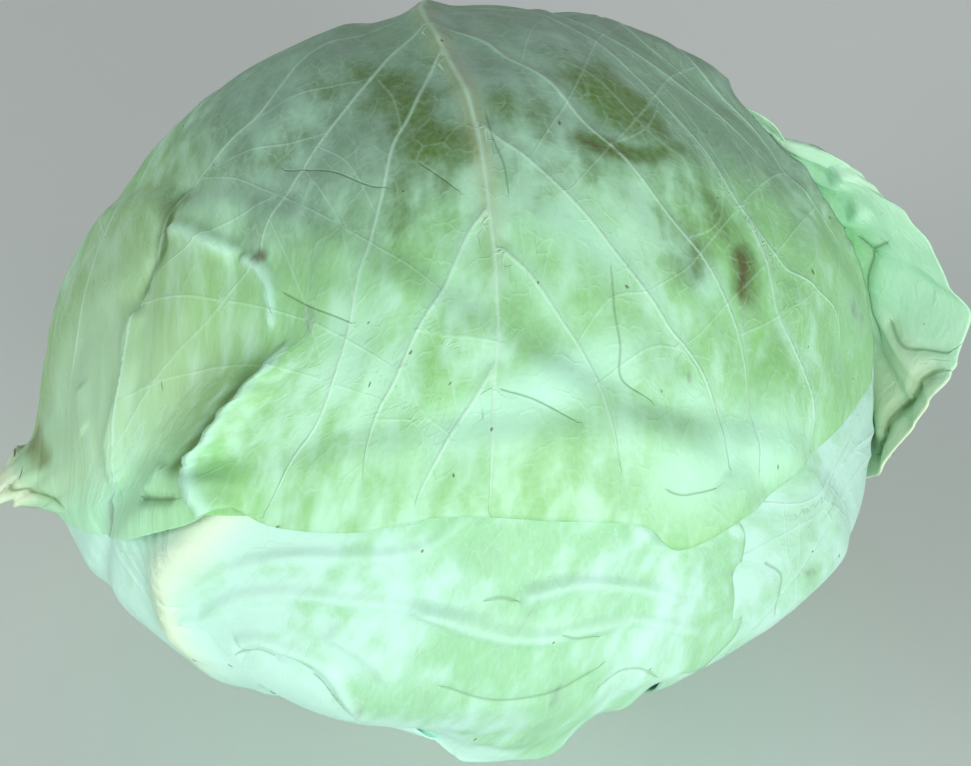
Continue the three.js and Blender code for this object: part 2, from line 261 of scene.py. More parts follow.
def new_piece(name, points, faces, material, replaced, attributes=None, spread=None):
    """A smooth-shaded mesh object in metres, made from points in mm and rows of corner numbers.
    attributes are numbers for each point, and spread is each point's place on the flat leaf."""
    mesh = bpy.data.meshes.new(name)
    mesh.vertices.add(len(points))
    mesh.vertices.foreach_set("co", (points * 0.001).astype(np.float32).ravel())
    corners = np.concatenate([rows.ravel() for rows in faces])
    sizes = np.concatenate([np.full(len(rows), rows.shape[1]) for rows in faces])
    mesh.loops.add(len(corners))
    mesh.loops.foreach_set("vertex_index", corners.astype(np.int32))
    mesh.polygons.add(len(sizes))
    mesh.polygons.foreach_set("loop_start", (np.cumsum(sizes) - sizes).astype(np.int32))
    mesh.update(calc_edges=True)
    mesh.polygons.foreach_set("use_smooth", np.ones(len(sizes), bool))
    for key, values in (attributes or {}).items():
        layer = mesh.attributes.new(key, "FLOAT", "POINT")
        layer.data.foreach_set("value", values.astype(np.float32).ravel())
    if spread is not None:
        flat_map = mesh.uv_layers.new(name="leaf_spread")
        flat_map.uv.foreach_set("vector", spread[corners].astype(np.float32).ravel())
    mesh.materials.append(material)
    piece = bpy.data.objects.new(name, mesh)
    bpy.context.scene.collection.objects.link(piece)
    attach(piece, "root")
    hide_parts(replaced)
    return piece


def turned_faces(rings, segments):
    """The quads between neighbouring rings, and a fan at each end round a single point."""
    ring, segment = np.meshgrid(np.arange(rings - 1), np.arange(segments), indexing="ij")
    low = 1 + ring * segments + segment
    low_next = 1 + ring * segments + (segment + 1) % segments
    sides = np.stack([low, low_next, low_next + segments, low + segments], -1).reshape(-1, 4)
    around = np.arange(segments)
    after = (around + 1) % segments
    last = 1 + (rings - 1) * segments
    bottom = np.stack([np.zeros(segments, int), 1 + after, 1 + around], -1)
    top = np.stack([np.full(segments, last + segments), last + around, last + after], -1)
    return [sides, bottom, top]


def stem_points():
    """A profile turned round the vertical axis. Each leaf scar is a shallow ledge that swings
    round the stem as a cosine bump, one golden angle on from the last, and fine ribs run up it."""
    profile = np.array(STEM_PROFILE_MM, float)
    reach = np.r_[0, np.cumsum(np.linalg.norm(np.diff(profile, axis=0), axis=1))]
    steps = np.linspace(0, reach[-1], STEM_RINGS + 2)[1:-1]
    radius = np.interp(steps, reach, profile[:, 0])[:, None]
    height = np.interp(steps, reach, profile[:, 1])[:, None]
    turn = np.linspace(0, 2 * np.pi, STEM_SEGMENTS, endpoint=False)[None, :]
    wall = np.clip(height / 3, 0, 1) * np.clip((STEM_WALL_TOP - height) / 2, 0, 1)
    ribs = 0.12 * np.cos(STEM_RIBS * turn + 2 * np.sin(3 * turn))
    ribs = ribs + 0.2 * np.cos(5 * turn + height / 6)
    scars = np.zeros_like(radius * turn)
    for scar in range(LEAF_SCARS):
        swing = np.cos(turn - scar * GOLDEN_ANGLE)
        level = FIRST_SCAR + SCAR_SPACING * scar + SCAR_TILT * swing
        scars = scars + SCAR_HEIGHT * np.clip(swing, 0, 1) * bell(height - level, 0.9)
    wide = radius - wall * (0.35 - ribs) + wall * (scars - 0.45)
    wide = np.minimum(wide, STEM_MOST_RADIUS)
    points = np.stack([wide * np.cos(turn), wide * np.sin(turn), height + 0 * turn], -1)
    low = np.array([[0, 0, profile[0, 1]]])
    high = np.array([[0, 0, profile[-1, 1]]])
    return np.vstack([low, points.reshape(-1, 3), high])


def stem_material():
    """Pale flesh with blotches of noise and fibres of noise stretched upwards. The cut face has
    dried patches, and a ring between two radii."""
    material, shader, place = start_material("stem_flesh")
    height = place.make("ShaderNodeSeparateXYZ", {}, {0: place}, "Z")
    fibres = place.stretched(1, 1, 0.12).noise(900.0, 3.0)
    blotch = place.noise(160.0, 4.0)
    flesh = blotch.between(0.35, 0.7).choose(*STEM_FLESH)
    level = place.stretched(1, 1, 0)
    radius = place.make("ShaderNodeVectorMath", {"operation": "LENGTH"}, {0: level}, "Value")
    cut = 1 - height.between(0.0004, 0.0012)
    ring = radius.between(0.0095, 0.011) * (1 - radius.between(0.0125, 0.014))
    dried = cut * blotch.between(0.4, 0.75)
    base = flesh.tinted(fibres.between(0.5, 0.75) * 0.45, STEM_FIBRE)
    base = base.tinted(cut * ring * 0.6, STEM_RING)
    base = base.tinted(dried * 0.5, STEM_DRIED)
    connect(shader["Base Color"], base)
    shader["Roughness"].default_value = STEM_ROUGHNESS
    connect(shader["Normal"], (fibres + blotch).bump(0.6, 0.0004))
    return material


new_piece("stem_stump", stem_points(), turned_faces(STEM_RINGS, STEM_SEGMENTS), stem_material(),
          "stem")


# Heart
# The dense middle of the head: dozens of pale leaves packed so tightly that they make one firm
# ball on the stem. Only its foot shows, between the bases of the outer leaves.
HEAD_HALF_WIDTH = 98.5
HEAD_CENTRE_TO_CROWN = 106.5
HEAD_CENTRE_TO_UNDERSIDE = 50.0
CROWN_POWER = 2.0
UNDERSIDE_POWER = 1.7
CENTRE_HEIGHT = 70.0
LEAN_PER_HEIGHT = 0.065
BULGE_SPREAD = 0.12
BULGES = [((180, 24), 3.5), ((-14, -2), 3.5)]
HEART_DEPTH = 4.4
HEART_RINGS = 150
HEART_SEGMENTS = 300
HEART_FOLDS = 5
HEART_FOLD_DEPTH = 0.9
HEART_RIBS = 46
HEART_RIB_HEIGHT = 0.25
HEART_COLOURS = screen_colour(226, 244, 220), screen_colour(190, 226, 176)
HEART_NET = screen_colour(236, 248, 232)
HEART_ROUGHNESS = 0.45


def directions(angles):
    """Unit vectors of azimuths and latitudes in degrees."""
    azimuth, latitude = np.moveaxis(np.radians(np.asarray(angles, float)), -1, 0)
    level = np.cos(latitude)
    return np.stack([level * np.cos(azimuth), level * np.sin(azimuth), np.sin(latitude)], -1)


def unit(vectors):
    """Vectors divided by their lengths."""
    return vectors / np.linalg.norm(vectors, axis=-1, keepdims=True)


def head_radius(ways):
    """The head's outer form from its centre. On it a power of the share across plus the same
    power of the share along makes one, with other sizes and another power below the widest
    line. Each bulge adds a dome that falls off round its direction."""
    across = np.hypot(ways[..., 0], ways[..., 1]) / HEAD_HALF_WIDTH
    upper = ways[..., 2] >= 0
    along = np.abs(ways[..., 2]) / np.where(upper, HEAD_CENTRE_TO_CROWN, HEAD_CENTRE_TO_UNDERSIDE)
    power = np.where(upper, CROWN_POWER, UNDERSIDE_POWER)
    radius = (across ** power + along ** power) ** (-1 / power)
    for angles, height in BULGES:
        radius = radius + height * np.exp((ways @ directions(angles) - 1) / BULGE_SPREAD)
    return radius


def head_points(ways, radius):
    """Points of the head, sheared a little sideways as it leans, and raised onto its stem."""
    points = ways * np.asarray(radius)[..., None]
    points[..., 0] += LEAN_PER_HEIGHT * points[..., 2]
    points[..., 2] += CENTRE_HEIGHT
    return points


def swell(ways, size, seed, waves=7):
    """A smooth random relief, mostly from -1 to 1, with features of a size in mm: the scaled sum
    of sine waves that run across the head in seeded directions."""
    draw = np.random.default_rng(seed)
    runs = unit(draw.normal(size=(waves, 3))) * (2 * np.pi * HEAD_HALF_WIDTH / size)
    runs *= draw.uniform(0.6, 1.4, (waves, 1))
    return np.sin(ways @ runs.T + draw.uniform(0, 2 * np.pi, waves)).sum(-1) / np.sqrt(waves) / 1.3


def heart_points():
    """The head's form drawn inwards, with leaf folds that wind round it as a stepped cosine."""
    rise = (np.pi * (np.arange(1, HEART_RINGS + 1) / (HEART_RINGS + 1) - 0.5))[:, None]
    turn = np.linspace(0, 2 * np.pi, HEART_SEGMENTS, endpoint=False)[None, :]
    level = np.cos(rise)
    ways = np.stack([level * np.cos(turn), level * np.sin(turn), np.sin(rise) + 0 * turn], -1)
    folds = HEART_FOLD_DEPTH * level ** 2 * (np.cos(HEART_FOLDS * turn + 4 * rise) - 1) / 2
    ribs = HEART_RIB_HEIGHT * level ** 2 * np.cos(HEART_RIBS * turn + 3 * swell(ways, 60, 3))
    points = head_points(ways, head_radius(ways) - HEART_DEPTH + folds + ribs)
    poles = directions([(0, -90), (0, 90)])
    low, high = head_points(poles, head_radius(poles) - HEART_DEPTH)
    return np.vstack([low, points.reshape(-1, 3), high])


def heart_material():
    """Pale and greener blotches of noise, under a net made of the borders of random cells."""
    material, shader, place = start_material("heart_leaf")
    blotch = place.noise(45.0, 3.0)
    base = blotch.between(0.35, 0.7).choose(*HEART_COLOURS)
    net = 1 - place.cells(170.0, "DISTANCE_TO_EDGE").between(0.0, 0.06)
    connect(shader["Base Color"], base.tinted(net * 0.4, HEART_NET))
    shader["Roughness"].default_value = HEART_ROUGHNESS
    connect(shader["Normal"], (net + place.noise(300.0)).bump(0.5, 0.0004))
    return material


new_piece("heart_ball", heart_points(), turned_faces(HEART_RINGS, HEART_SEGMENTS), heart_material(),
          "heart")


# Lower leaf
# The innermost of the six outer leaves, whitish, broad and stiff. It grows from the front of the
# stem and cups the lower front. Only a strip of it shows, under the front leaf's edge.
HEART_TO_LEAVES = 3.6
LEAF_GAP = 0.5
BLADE_THICKNESS = 0.8
EDGE_THICKNESS = 0.45
VEIN_ALLOWANCE = 0.5
COVER_FOOT = 10.0
COVER_FULL = 2.0
RIB_FOOT = 22.0
TIP_SHARE = 4
CURVE_STEPS = 480
OUTLINE_STEPS = 40
MIDRIB_STEPS = 90
ROW_SAMPLES = 400
STEPS_PER_POINT = 14
LEAST_REACH = 14
# Colour maps of each leaf: some hold real colour such as rust, others painted light and painted
# shade, and some both.
TONE_MAPS = ["green", "light", "dark", "olive", "bloom_and_shade", "beige", "cream", "rust"]
DRAWN_LINES = ["vein", "twig", "crease"]
UNDRAWN_GAP = 60.0
UNDRAWN_WIDTH = 0.01
PILLOW_HEIGHT = 0.8
PILLOW_RUN = 7
EDGE_RUN = 6
PATCH_STRETCH = 0.6
PATCHES_PER_METRE = 42.0
MOTTLES_PER_METRE = 160.0
GRAINS_PER_METRE = 650.0
NET_PER_METRE = 150.0
NET_WANDER = 0.006
SPECKS_PER_METRE = 110.0
LEAF_SPECULAR = 0.4
WAVE_HEIGHT = 0.5
WAVE_SIZE = 38
WAVE_SEED = 42
MOST_TUCKED_CELLS = 20


def eased(value, low, high):
    """An S-shaped step from 0 at low to 1 at high: three squares of the share less two cubes."""
    share = np.clip((np.asarray(value, float) - low) / (high - low), 0, 1)
    return share * share * (3 - 2 * share)


def window(value, rise_from, rise_to, fall_from, fall_to):
    """An S-shaped step from 0 up to 1, and another one back to 0."""
    return eased(value, rise_from, rise_to) * (1 - eased(value, fall_from, fall_to))


def keyed(keys, along):
    """Rows of numbers between keys of (along, ...numbers), eased from key to key."""
    keys = np.array(keys, float)
    after = np.clip(np.searchsorted(keys[:, 0], along, side="right"), 1, len(keys) - 1)
    low, high = keys[after - 1], keys[after]
    share = eased((along - low[..., 0]) / (high[..., 0] - low[..., 0]), 0, 1)[..., None]
    return low[..., 1:] + share * (high[..., 1:] - low[..., 1:])


def smooth_line(points, share):
    """Places on a smooth curve through points: a cubic between each two, whose slopes weigh the
    neighbouring spans by the square root of their lengths."""
    points = np.asarray(points, float)
    padded = np.vstack([2 * points[0] - points[1], points, 2 * points[-1] - points[-2]])
    spans = np.clip(np.asarray(share, float), 0, 1) * (len(points) - 1)
    first = np.minimum(spans.astype(int), len(points) - 2)
    f = (spans - first)[..., None]
    p0, p1, p2, p3 = (padded[first + k] for k in range(4))
    d0, d1, d2 = (np.sqrt(np.maximum(np.linalg.norm(b - a, axis=-1, keepdims=True), 1e-6))
                  for a, b in ((p0, p1), (p1, p2), (p2, p3)))
    slope1 = ((p1 - p0) / d0 - (p2 - p0) / (d0 + d1) + (p2 - p1) / d1) * d1
    slope2 = ((p2 - p1) / d1 - (p3 - p1) / (d1 + d2) + (p3 - p2) / d2) * d1
    bend = 3 * (p2 - p1) - 2 * slope1 - slope2
    twist = 2 * (p1 - p2) + slope1 + slope2
    return p1 + f * (slope1 + f * (bend + f * twist))


def turned(start, end, share):
    """Directions on the great arc from start to end."""
    angle = np.arccos(np.clip((start * end).sum(-1, keepdims=True), -1, 1)) + 1e-9
    share = np.asarray(share)[..., None]
    return (np.sin((1 - share) * angle) * start + np.sin(share * angle) * end) / np.sin(angle)


def nearest(ways, line):
    """For each direction the distance in mm to a line of directions, and the place along it."""
    flat = ways.reshape(-1, 3)
    likeness = flat @ line.T
    best = likeness.argmax(1)
    gap = np.sqrt(np.maximum(2 - 2 * likeness[np.arange(len(flat)), best], 0)) * HEAD_HALF_WIDTH
    return gap.reshape(ways.shape[:-1]), (best / (len(line) - 1)).reshape(ways.shape[:-1])


class Leaf:
    """A leaf laid out on the head. side runs from the left margin (-1) over the midrib (0) to the
    right margin (1), seen from outside with the base down, and t from base (0) to tip (1). rows
    hold the left margin, the midrib and the right margin as angles, evenly along t. rib holds
    keys of (t, half width, height), and free a margin's side, the fold's side, the power that
    the shift grows by, and keys of (t, x, y, z)."""

    def __init__(self, rows, tip, rib, extra_gap=0.0, free=None, beneath=()):
        columns = (directions([row[k] for row in rows]) for k in range(3))
        self.left, self.middle, self.right = columns
        self.tip_line = unit(smooth_line(directions(tip), np.linspace(0, 1, CURVE_STEPS)))
        reach = np.r_[0, np.cumsum(np.linalg.norm(np.diff(self.tip_line, axis=0), axis=1))]
        self.tip_share = reach / reach[-1]
        self.rib = rib
        self.extra_gap = extra_gap
        self.free = free
        self.beneath = beneath
        run = np.arange(OUTLINE_STEPS) / OUTLINE_STEPS
        self.outline = np.vstack([
            self.way(2 * run - 1, 0 * run), self.way(1 + 0 * run, run),
            self.way(1 - 2 * run, 1 + 0 * run), self.way(-1 + 0 * run, 1 - run)])
        self.rib_line = self.way(np.zeros(MIDRIB_STEPS), np.linspace(0, 1, MIDRIB_STEPS))
        self.centre = self.way(np.array(0.0), np.array(0.5))

    def margin(self, side, t):
        """The direction of the margin on a place's own side of the midrib."""
        on_left = np.asarray(side)[..., None] < 0
        return unit(np.where(on_left, smooth_line(self.left, t), smooth_line(self.right, t)))

    def way(self, side, t):
        """The direction of a place: rows are great arcs from midrib to margin, and towards t = 1
        they bend onto the tip margin by the fourth power of t."""
        side, t = np.broadcast_arrays(np.asarray(side, float), np.asarray(t, float))
        share = np.abs(side)
        row = turned(unit(smooth_line(self.middle, t)), self.margin(side, t), share)
        end = np.where(side[..., None] < 0, self.left[-1], self.right[-1])
        last = turned(np.broadcast_to(self.middle[-1], end.shape), end, share)
        tip = [np.interp((side + 1) / 2, self.tip_share, self.tip_line[:, k]) for k in range(3)]
        tip = np.stack(tip, -1)
        return unit(row + (unit(tip) - last) * (t ** TIP_SHARE)[..., None])

    def flattened(self, ways):
        """Directions seen from the point opposite the leaf's centre, on a plane."""
        across = unit(np.array([-self.centre[1], self.centre[0], 0]))
        up = np.cross(self.centre, across)
        scale = 1 / (1 + ways @ self.centre)
        return (ways @ across) * scale, (ways @ up) * scale

    def holds(self, ways):
        """Whether each direction is inside the outline: it crosses the border an odd number of
        times on its way out."""
        x, y = (part.ravel() for part in self.flattened(ways))
        ax, ay = self.flattened(self.outline)
        bx, by = np.roll(ax, -1), np.roll(ay, -1)
        spans = (ay > y[:, None]) != (by > y[:, None])
        steep = np.where(by == ay, 1e-12, by - ay)
        crossings = spans & (x[:, None] < ax + (bx - ax) * (y[:, None] - ay) / steep)
        return (crossings.sum(1) % 2 == 1).reshape(ways.shape[:-1])

    def cover(self, ways):
        """How much this leaf raises those over it: its blade and veins inside its outline, with
        a soft step round it, and its midrib on a wide foot."""
        gap, _ = nearest(ways, self.outline)
        full = np.where(self.holds(ways), 1.0, 1 - eased(gap, COVER_FULL, COVER_FOOT))
        rib_gap, along = nearest(ways, self.rib_line)
        foot = 1 - eased(rib_gap, RIB_FOOT / 2, RIB_FOOT)
        height = keyed(self.rib, along)[..., 1]
        return full * (LEAF_GAP + self.extra_gap + BLADE_THICKNESS + VEIN_ALLOWANCE) + height * foot

    def bed(self, ways):
        """The radius of the leaf's inner face, on the heart and all the leaves beneath it."""
        painted_light_lowest = head_radius(ways) - HEART_TO_LEAVES + LEAF_GAP + self.extra_gap
        return sum((leaf.cover(ways) for leaf in self.beneath), painted_light_lowest)

    def half_width(self, side, t):
        """Midrib to margin in mm."""
        cosine = (unit(smooth_line(self.middle, t)) * self.margin(side, t)).sum(-1)
        return np.arccos(np.clip(cosine, -1, 1)) * HEAD_HALF_WIDTH

    def free_shift(self, side, t):
        """How far in mm a free stretch of margin stands off its place on the head."""
        if self.free is None:
            return np.zeros((*side.shape, 3))
        which, fold, power, at = self.free
        share = np.clip((side * which - fold) / (1 - fold), 0, 1) ** power
        return keyed(at, np.clip(t, at[0][0], at[-1][0])) * share[..., None]


def even_steps(leaf, count, fine_from=None, fine_share=0.7):
    """Values of t whose rows are about evenly spaced, or closer together past fine_from."""
    t = np.linspace(0, 1, ROW_SAMPLES)
    reach = np.zeros(ROW_SAMPLES)
    for side in (-0.6, 0, 0.6):
        line = leaf.way(np.full(ROW_SAMPLES, side), t)
        reach += np.r_[0, np.cumsum(np.linalg.norm(np.diff(line, axis=0), axis=1))]
    reach /= reach[-1]
    if fine_from is None:
        return np.interp(np.linspace(0, 1, count), reach, t)
    split = int(count * (1 - fine_share))
    at = np.interp(fine_from, t, reach)
    steps = np.r_[np.linspace(0, at, split, endpoint=False), np.linspace(at, 1, count - split)]
    return np.interp(steps, reach, t)


def side_veins(starts, reach=1.0, bend=1.33, climb=0.6):
    """Veins that leave the midrib at each start and curve up and out: t is the start, plus the
    climb times a power of side."""
    lines = []
    for start in starts:
        for hand in (-1, 1):
            share = np.linspace(0, reach, 9)
            t = start + climb * share ** bend
            kept = t <= 1.0
            lines.append(np.stack([hand * share[kept], t[kept]], -1))
    return [line for line in lines if len(line) > 2]


def ladder(first, second, rungs, draw):
    """Thin cross veins between two neighbouring side veins, each slanting a little."""
    lines = []
    for rung in range(rungs):
        share = (rung + 1.2 + draw.uniform(-0.25, 0.25)) / (rungs + 1.2)
        start = smooth_line(first, share)
        end = smooth_line(second, min(1.0, share * draw.uniform(0.85, 1.1)))
        middle = (start + end) / 2 + draw.normal(size=2) * np.array([0.012, 0.006])
        if min(abs(start[0]), abs(end[0])) > 0.05 and np.linalg.norm(end - start) > 0.05:
            lines.append(np.array([start, middle, end]))
    return lines


class Relief:
    """The raised and sunken lines of a leaf and its tone maps, which hold real colour such as rust
    and green, and also painted light and painted shade, gathered over its grid. Sharp lines are
    kept as a signed distance in mm, which stays crisp between the grid's points."""

    def __init__(self, leaf, ways):
        self.leaf = leaf
        self.ways = ways
        self.height = np.zeros(ways.shape[:-1])
        self.vein_gap = np.full(ways.shape[:-1], UNDRAWN_GAP)
        self.maps = {key: np.zeros(ways.shape[:-1]) for key in TONE_MAPS}
        for kind in DRAWN_LINES:
            self.maps[kind + "_offset"] = np.full(ways.shape[:-1], UNDRAWN_GAP)
            self.maps[kind + "_width"] = np.full(ways.shape[:-1], UNDRAWN_WIDTH)

    def beside(self, line, reach):
        """The grid points near a line through (side, t) places, their distance in mm to its left
        (positive) or right, their share of the way along it, and a fade at its two ends."""
        line = np.asarray(line, float)
        places = smooth_line(line, np.linspace(0, 1, STEPS_PER_POINT * len(line)))
        track = self.leaf.way(places[:, 0], np.clip(places[:, 1], 0, 1))
        runs = unit(np.gradient(track, axis=0))
        middle = unit(track.mean(0))
        widest = np.arccos(np.clip((track @ middle).min(), -1, 1)) + reach / HEAD_HALF_WIDTH
        near = self.ways @ middle > np.cos(min(widest, np.pi))
        ways = self.ways[near]
        best = (ways @ track.T).argmax(1)
        across = (ways * np.cross(track, runs)[best]).sum(-1) * HEAD_HALF_WIDTH
        ahead = (ways * runs[best]).sum(-1) * HEAD_HALF_WIDTH
        last = len(track) - 1
        beyond = np.where(best == 0, -ahead, np.where(best == last, ahead, 0))
        beyond = np.maximum(beyond, 0)
        along = best / last
        tapers = np.clip(along * 30, 0, 1) * np.clip((1 - along) * 8, 0.1, 1)
        ends = tapers * (1 - eased(beyond, 0, 2))
        return near, np.copysign(np.hypot(across, beyond), across), along, ends

    def line(self, line, widths, heights, kind=None, drawn=0.8, pillow=False, **tones):
        """A raised line, or a sunken one where the heights are negative. Its section is a bell,
        and width and height run evenly from start to end. One of a drawn kind also gets a sharp
        line of a share of that width."""
        near, offset, along, ends = self.beside(line, max(LEAST_REACH, 3 * max(widths)))
        width = widths[0] + (widths[1] - widths[0]) * along
        section = bell(offset, width) * ends
        self.height[near] += (heights[0] + (heights[1] - heights[0]) * along) * section
        if pillow:
            self.vein_gap[near] = np.minimum(self.vein_gap[near], np.abs(offset))
        if kind:
            offsets = self.maps[kind + "_offset"]
            closer = np.abs(offset) < np.abs(offsets[near])
            widths_drawn = self.maps[kind + "_width"]
            fade = 1 - eased(np.abs(offset), 1.4, 2.8)
            thin = drawn * width * np.sqrt(ends) * fade + UNDRAWN_WIDTH
            widths_drawn[near] = np.where(closer, thin, widths_drawn[near])
            offsets[near] = np.where(closer, offset, offsets[near])
        for key, strength in tones.items():
            self.maps[key][near] = np.maximum(self.maps[key][near], strength * section)

    def stain(self, key, line, width, strength):
        """A soft stroke of one colouring along a line, weaker at its two ends."""
        near, offset, along, _ = self.beside(line, 3 * width)
        fade = np.sqrt(4 * along * (1 - along) * 0.85 + 0.15)
        stroke = strength * bell(offset, width) * fade
        self.maps[key][near] = np.maximum(self.maps[key][near], stroke)

    def step(self, line, height, run):
        """A folded edge on the line: the left side stands up along it, the right side dips by
        half as much, and both level out over a run."""
        near, offset, _, ends = self.beside(line, 4 * run)
        fall = np.exp(-np.abs(offset) / run)
        self.height[near] += height * ends * fall * np.where(offset > 0, 1, -0.5)


def blade_faces(rows, columns, slit=None):
    """Faces of a blade: the outer grid, the inner grid turned over, and a rim along every edge
    that only one face uses. slit holds the column of a cut and its rows, whose far edge's points
    follow the grid's."""
    near = np.arange(rows * columns).reshape(rows, columns)
    far = near.copy()
    count = rows * columns
    if slit:
        column, cut_rows = slit
        far[cut_rows, column] = count + np.arange(len(cut_rows))
        count += len(cut_rows)
    quads = np.stack([far[:-1, :-1], near[:-1, 1:], near[1:, 1:], far[1:, :-1]], -1).reshape(-1, 4)
    edges = np.stack([quads, np.roll(quads, -1, 1)], -1).reshape(-1, 2)
    forward = edges[:, 0] * count + edges[:, 1]
    backward = edges[:, 1] * count + edges[:, 0]
    border = edges[~np.isin(forward, backward)]
    rim = np.stack([border[:, 1], border[:, 0], border[:, 0] + count, border[:, 1] + count], -1)
    return [np.vstack([quads, quads[:, ::-1] + count, rim])]


def grid_normals(points):
    """Outward unit normals of a grid whose columns run left to right and rows base to tip."""
    across = np.gradient(points, axis=1)
    along = np.gradient(points, axis=0)
    return unit(np.cross(across, along))


def leaf_material(name, pale, green, vein, light):
    """Crisp waxy leaf. Pale and green areas mix by the leaf's green map and two sizes of mottling
    that run lengthwise. Over them lie lighter strokes, partly paler leaf and partly painted light
    and painted highlights, dull olive strokes, partly darker leaf and partly painted shade, a grey
    wax bloom with painted shade on the crown, raised pale veins, a faint net between them, sunken
    creases, cracks and folds darkened with painted shade, a painted shadow past the top leaf's
    tear, rusty bruises and small dark specks."""
    material, shader, place = start_material(name)
    spread = place.make("ShaderNodeUVMap", {"uv_map": "leaf_spread"})
    lengthwise = spread.stretched(1, PATCH_STRETCH, 1)

    def stain(key):
        return place.make("ShaderNodeAttribute", {"attribute_name": key}, {}, "Fac")

    def drawn(kind):
        offset = stain(kind + "_offset")
        return 1 - offset.maths("ABSOLUTE", offset).between(0.0, stain(kind + "_width"))

    broad = lengthwise.noise(PATCHES_PER_METRE, 2.0, flat=True)
    middling = lengthwise.noise(MOTTLES_PER_METRE, 3.0, flat=True)
    fine = spread.noise(GRAINS_PER_METRE, 2.0, flat=True)
    bent = spread.shifted(middling.also("Color"), NET_WANDER)
    meshes = bent.cells(NET_PER_METRE, "DISTANCE_TO_EDGE", flat=True).between(0.0, 0.07)
    net = (1 - meshes) * middling.between(0.35, 0.6)
    patchy = broad * 0.9 + middling * 0.8
    greenness = (stain("green") + patchy * 2.0 - 1.7).between(-0.05, 0.95)
    base = greenness.choose(pale, green)
    # The light map: partly paler leaf, partly painted light and painted highlights on ridges and
    # edges.
    base = base.tinted((stain("light") + patchy * 0.9 - 0.8).between(0.0, 1.0), light)
    # Wax bloom, with painted shade where it darkens the crown.
    base = base.tinted((stain("bloom_and_shade") + patchy * 0.9 - 0.75).between(0.1, 0.9) * 0.75, BLOOM_AND_SHADE)
    # Dull olive: partly the leaf's darker green, partly painted shade.
    base = base.tinted((stain("olive") * 1.2 + patchy * 1.2 - 1.05).between(0.15, 1.15), OLIVE)
    base = base.tinted((fine - 0.3) * 0.3, light)
    base = base.tinted(net * 0.16, vein)
    base = base.tinted(stain("beige") * 0.8, BEIGE)
    base = base.tinted(stain("cream") * 0.8, CREAM)
    twig = drawn("twig")
    branch = drawn("vein")
    base = base.tinted(twig * 0.22, vein)
    base = base.tinted(branch * 0.6, vein)
    crease = drawn("crease")
    # Painted shade: the dark map and the drawn creases darken creases, cracks, folds and the shadow
    # past the tear.
    base = base.tinted(stain("dark") * 0.55 + crease * 0.35, CREASE_SHADE)
    base = base.tinted((stain("rust") * 1.2 + patchy * 1.6 - 1.5).between(0.3, 1.1) * 0.8, RUST)
    specks = bent.cells(SPECKS_PER_METRE, "F1", flat=True)
    chosen = place.make("ShaderNodeSeparateColor", {}, {0: specks.also("Color")})
    base = base.tinted((1 - specks.between(0.02, 0.06)) * chosen.between(0.88, 0.92) * 0.8, SPECK)
    connect(shader["Base Color"], base)
    connect(shader["Roughness"], 0.40 + 0.22 * middling)
    shader["Specular IOR Level"].default_value = LEAF_SPECULAR
    lines = branch * 0.16 + twig * 0.07 + net * 0.05
    grain = lines + middling * 0.35 + fine * 0.08 - crease * 0.16
    connect(shader["Normal"], grain.bump(1.0, 0.001))
    return material


def slit_column(slit, columns):
    """The grid column that is nearest to a slit's side."""
    return int(round((slit["side"] + 1) / 2 * (columns - 1)))


def leaf_grid(leaf, rows, columns, fine_from, slit):
    """The (side, t) places of a leaf's grid. A slit's column follows its own line of (t, side)."""
    t = even_steps(leaf, rows, fine_from)[:, None] + np.zeros((1, columns))
    side = np.linspace(-1, 1, columns)[None, :] + np.zeros((rows, 1))
    if slit:
        knots = np.array([0, columns // 2, slit_column(slit, columns), columns - 1])
        cut_side = keyed(slit["line"], t[:, 0])[:, 0]
        for row in range(rows):
            side[row] = np.interp(np.arange(columns), knots, [-1, 0, cut_side[row], 1])
    return side, t


def laid_flat(points):
    """Each point's place in mm on the leaf laid flat: across from the midrib and up from the
    base, both measured along the surface."""
    rows, columns = points.shape[:2]
    steps = np.linalg.norm(np.diff(points, axis=1), axis=-1)
    across = np.hstack([np.zeros((rows, 1)), np.cumsum(steps, 1)])
    across -= across[:, columns // 2][:, None]
    steps = np.linalg.norm(np.diff(points, axis=0), axis=-1)
    up = np.vstack([np.zeros((1, columns)), np.cumsum(steps, 0)])
    return np.stack([across, up], -1)


def cut_open(flats, side, t, normals, slit):
    """Opens a slit in the layers of a leaf, outer and inner points first. The far edge is a copy
    of points from a little before the cut, so that it tucks under, and the near edge stands up
    as half a bell. Gives the layers with the far edge added, and the cut's column and rows."""
    columns = side.shape[1]
    column = slit_column(slit, columns)
    start = slit["line"][slit["start"]][0]
    cut_rows = np.flatnonzero(t[:, column] > start)
    opened = eased(t[cut_rows, column], start, 1)
    cell = side[cut_rows, column + 1] - side[cut_rows, column]
    tuck = np.clip(np.round(-slit["overlap"] * opened / cell), -MOST_TUCKED_CELLS, 0).astype(int)
    tucked = [flat[cut_rows * columns + column + tuck] for flat in flats]
    before = np.clip((side - side[:, [column]]) / slit["spread"], -3, 0)
    raised = np.exp(-before ** 2 * 2) * (np.arange(columns) <= column) * slit["lift"]
    raised = raised * np.sqrt(eased(t, start, slit["full_from"]))
    rise = (normals * raised[..., None]).reshape(-1, 3)
    flats = [flats[0] + rise, flats[1] + rise, *flats[2:]]
    return [np.vstack([flat, edge]) for flat, edge in zip(flats, tucked)], (column, cut_rows)


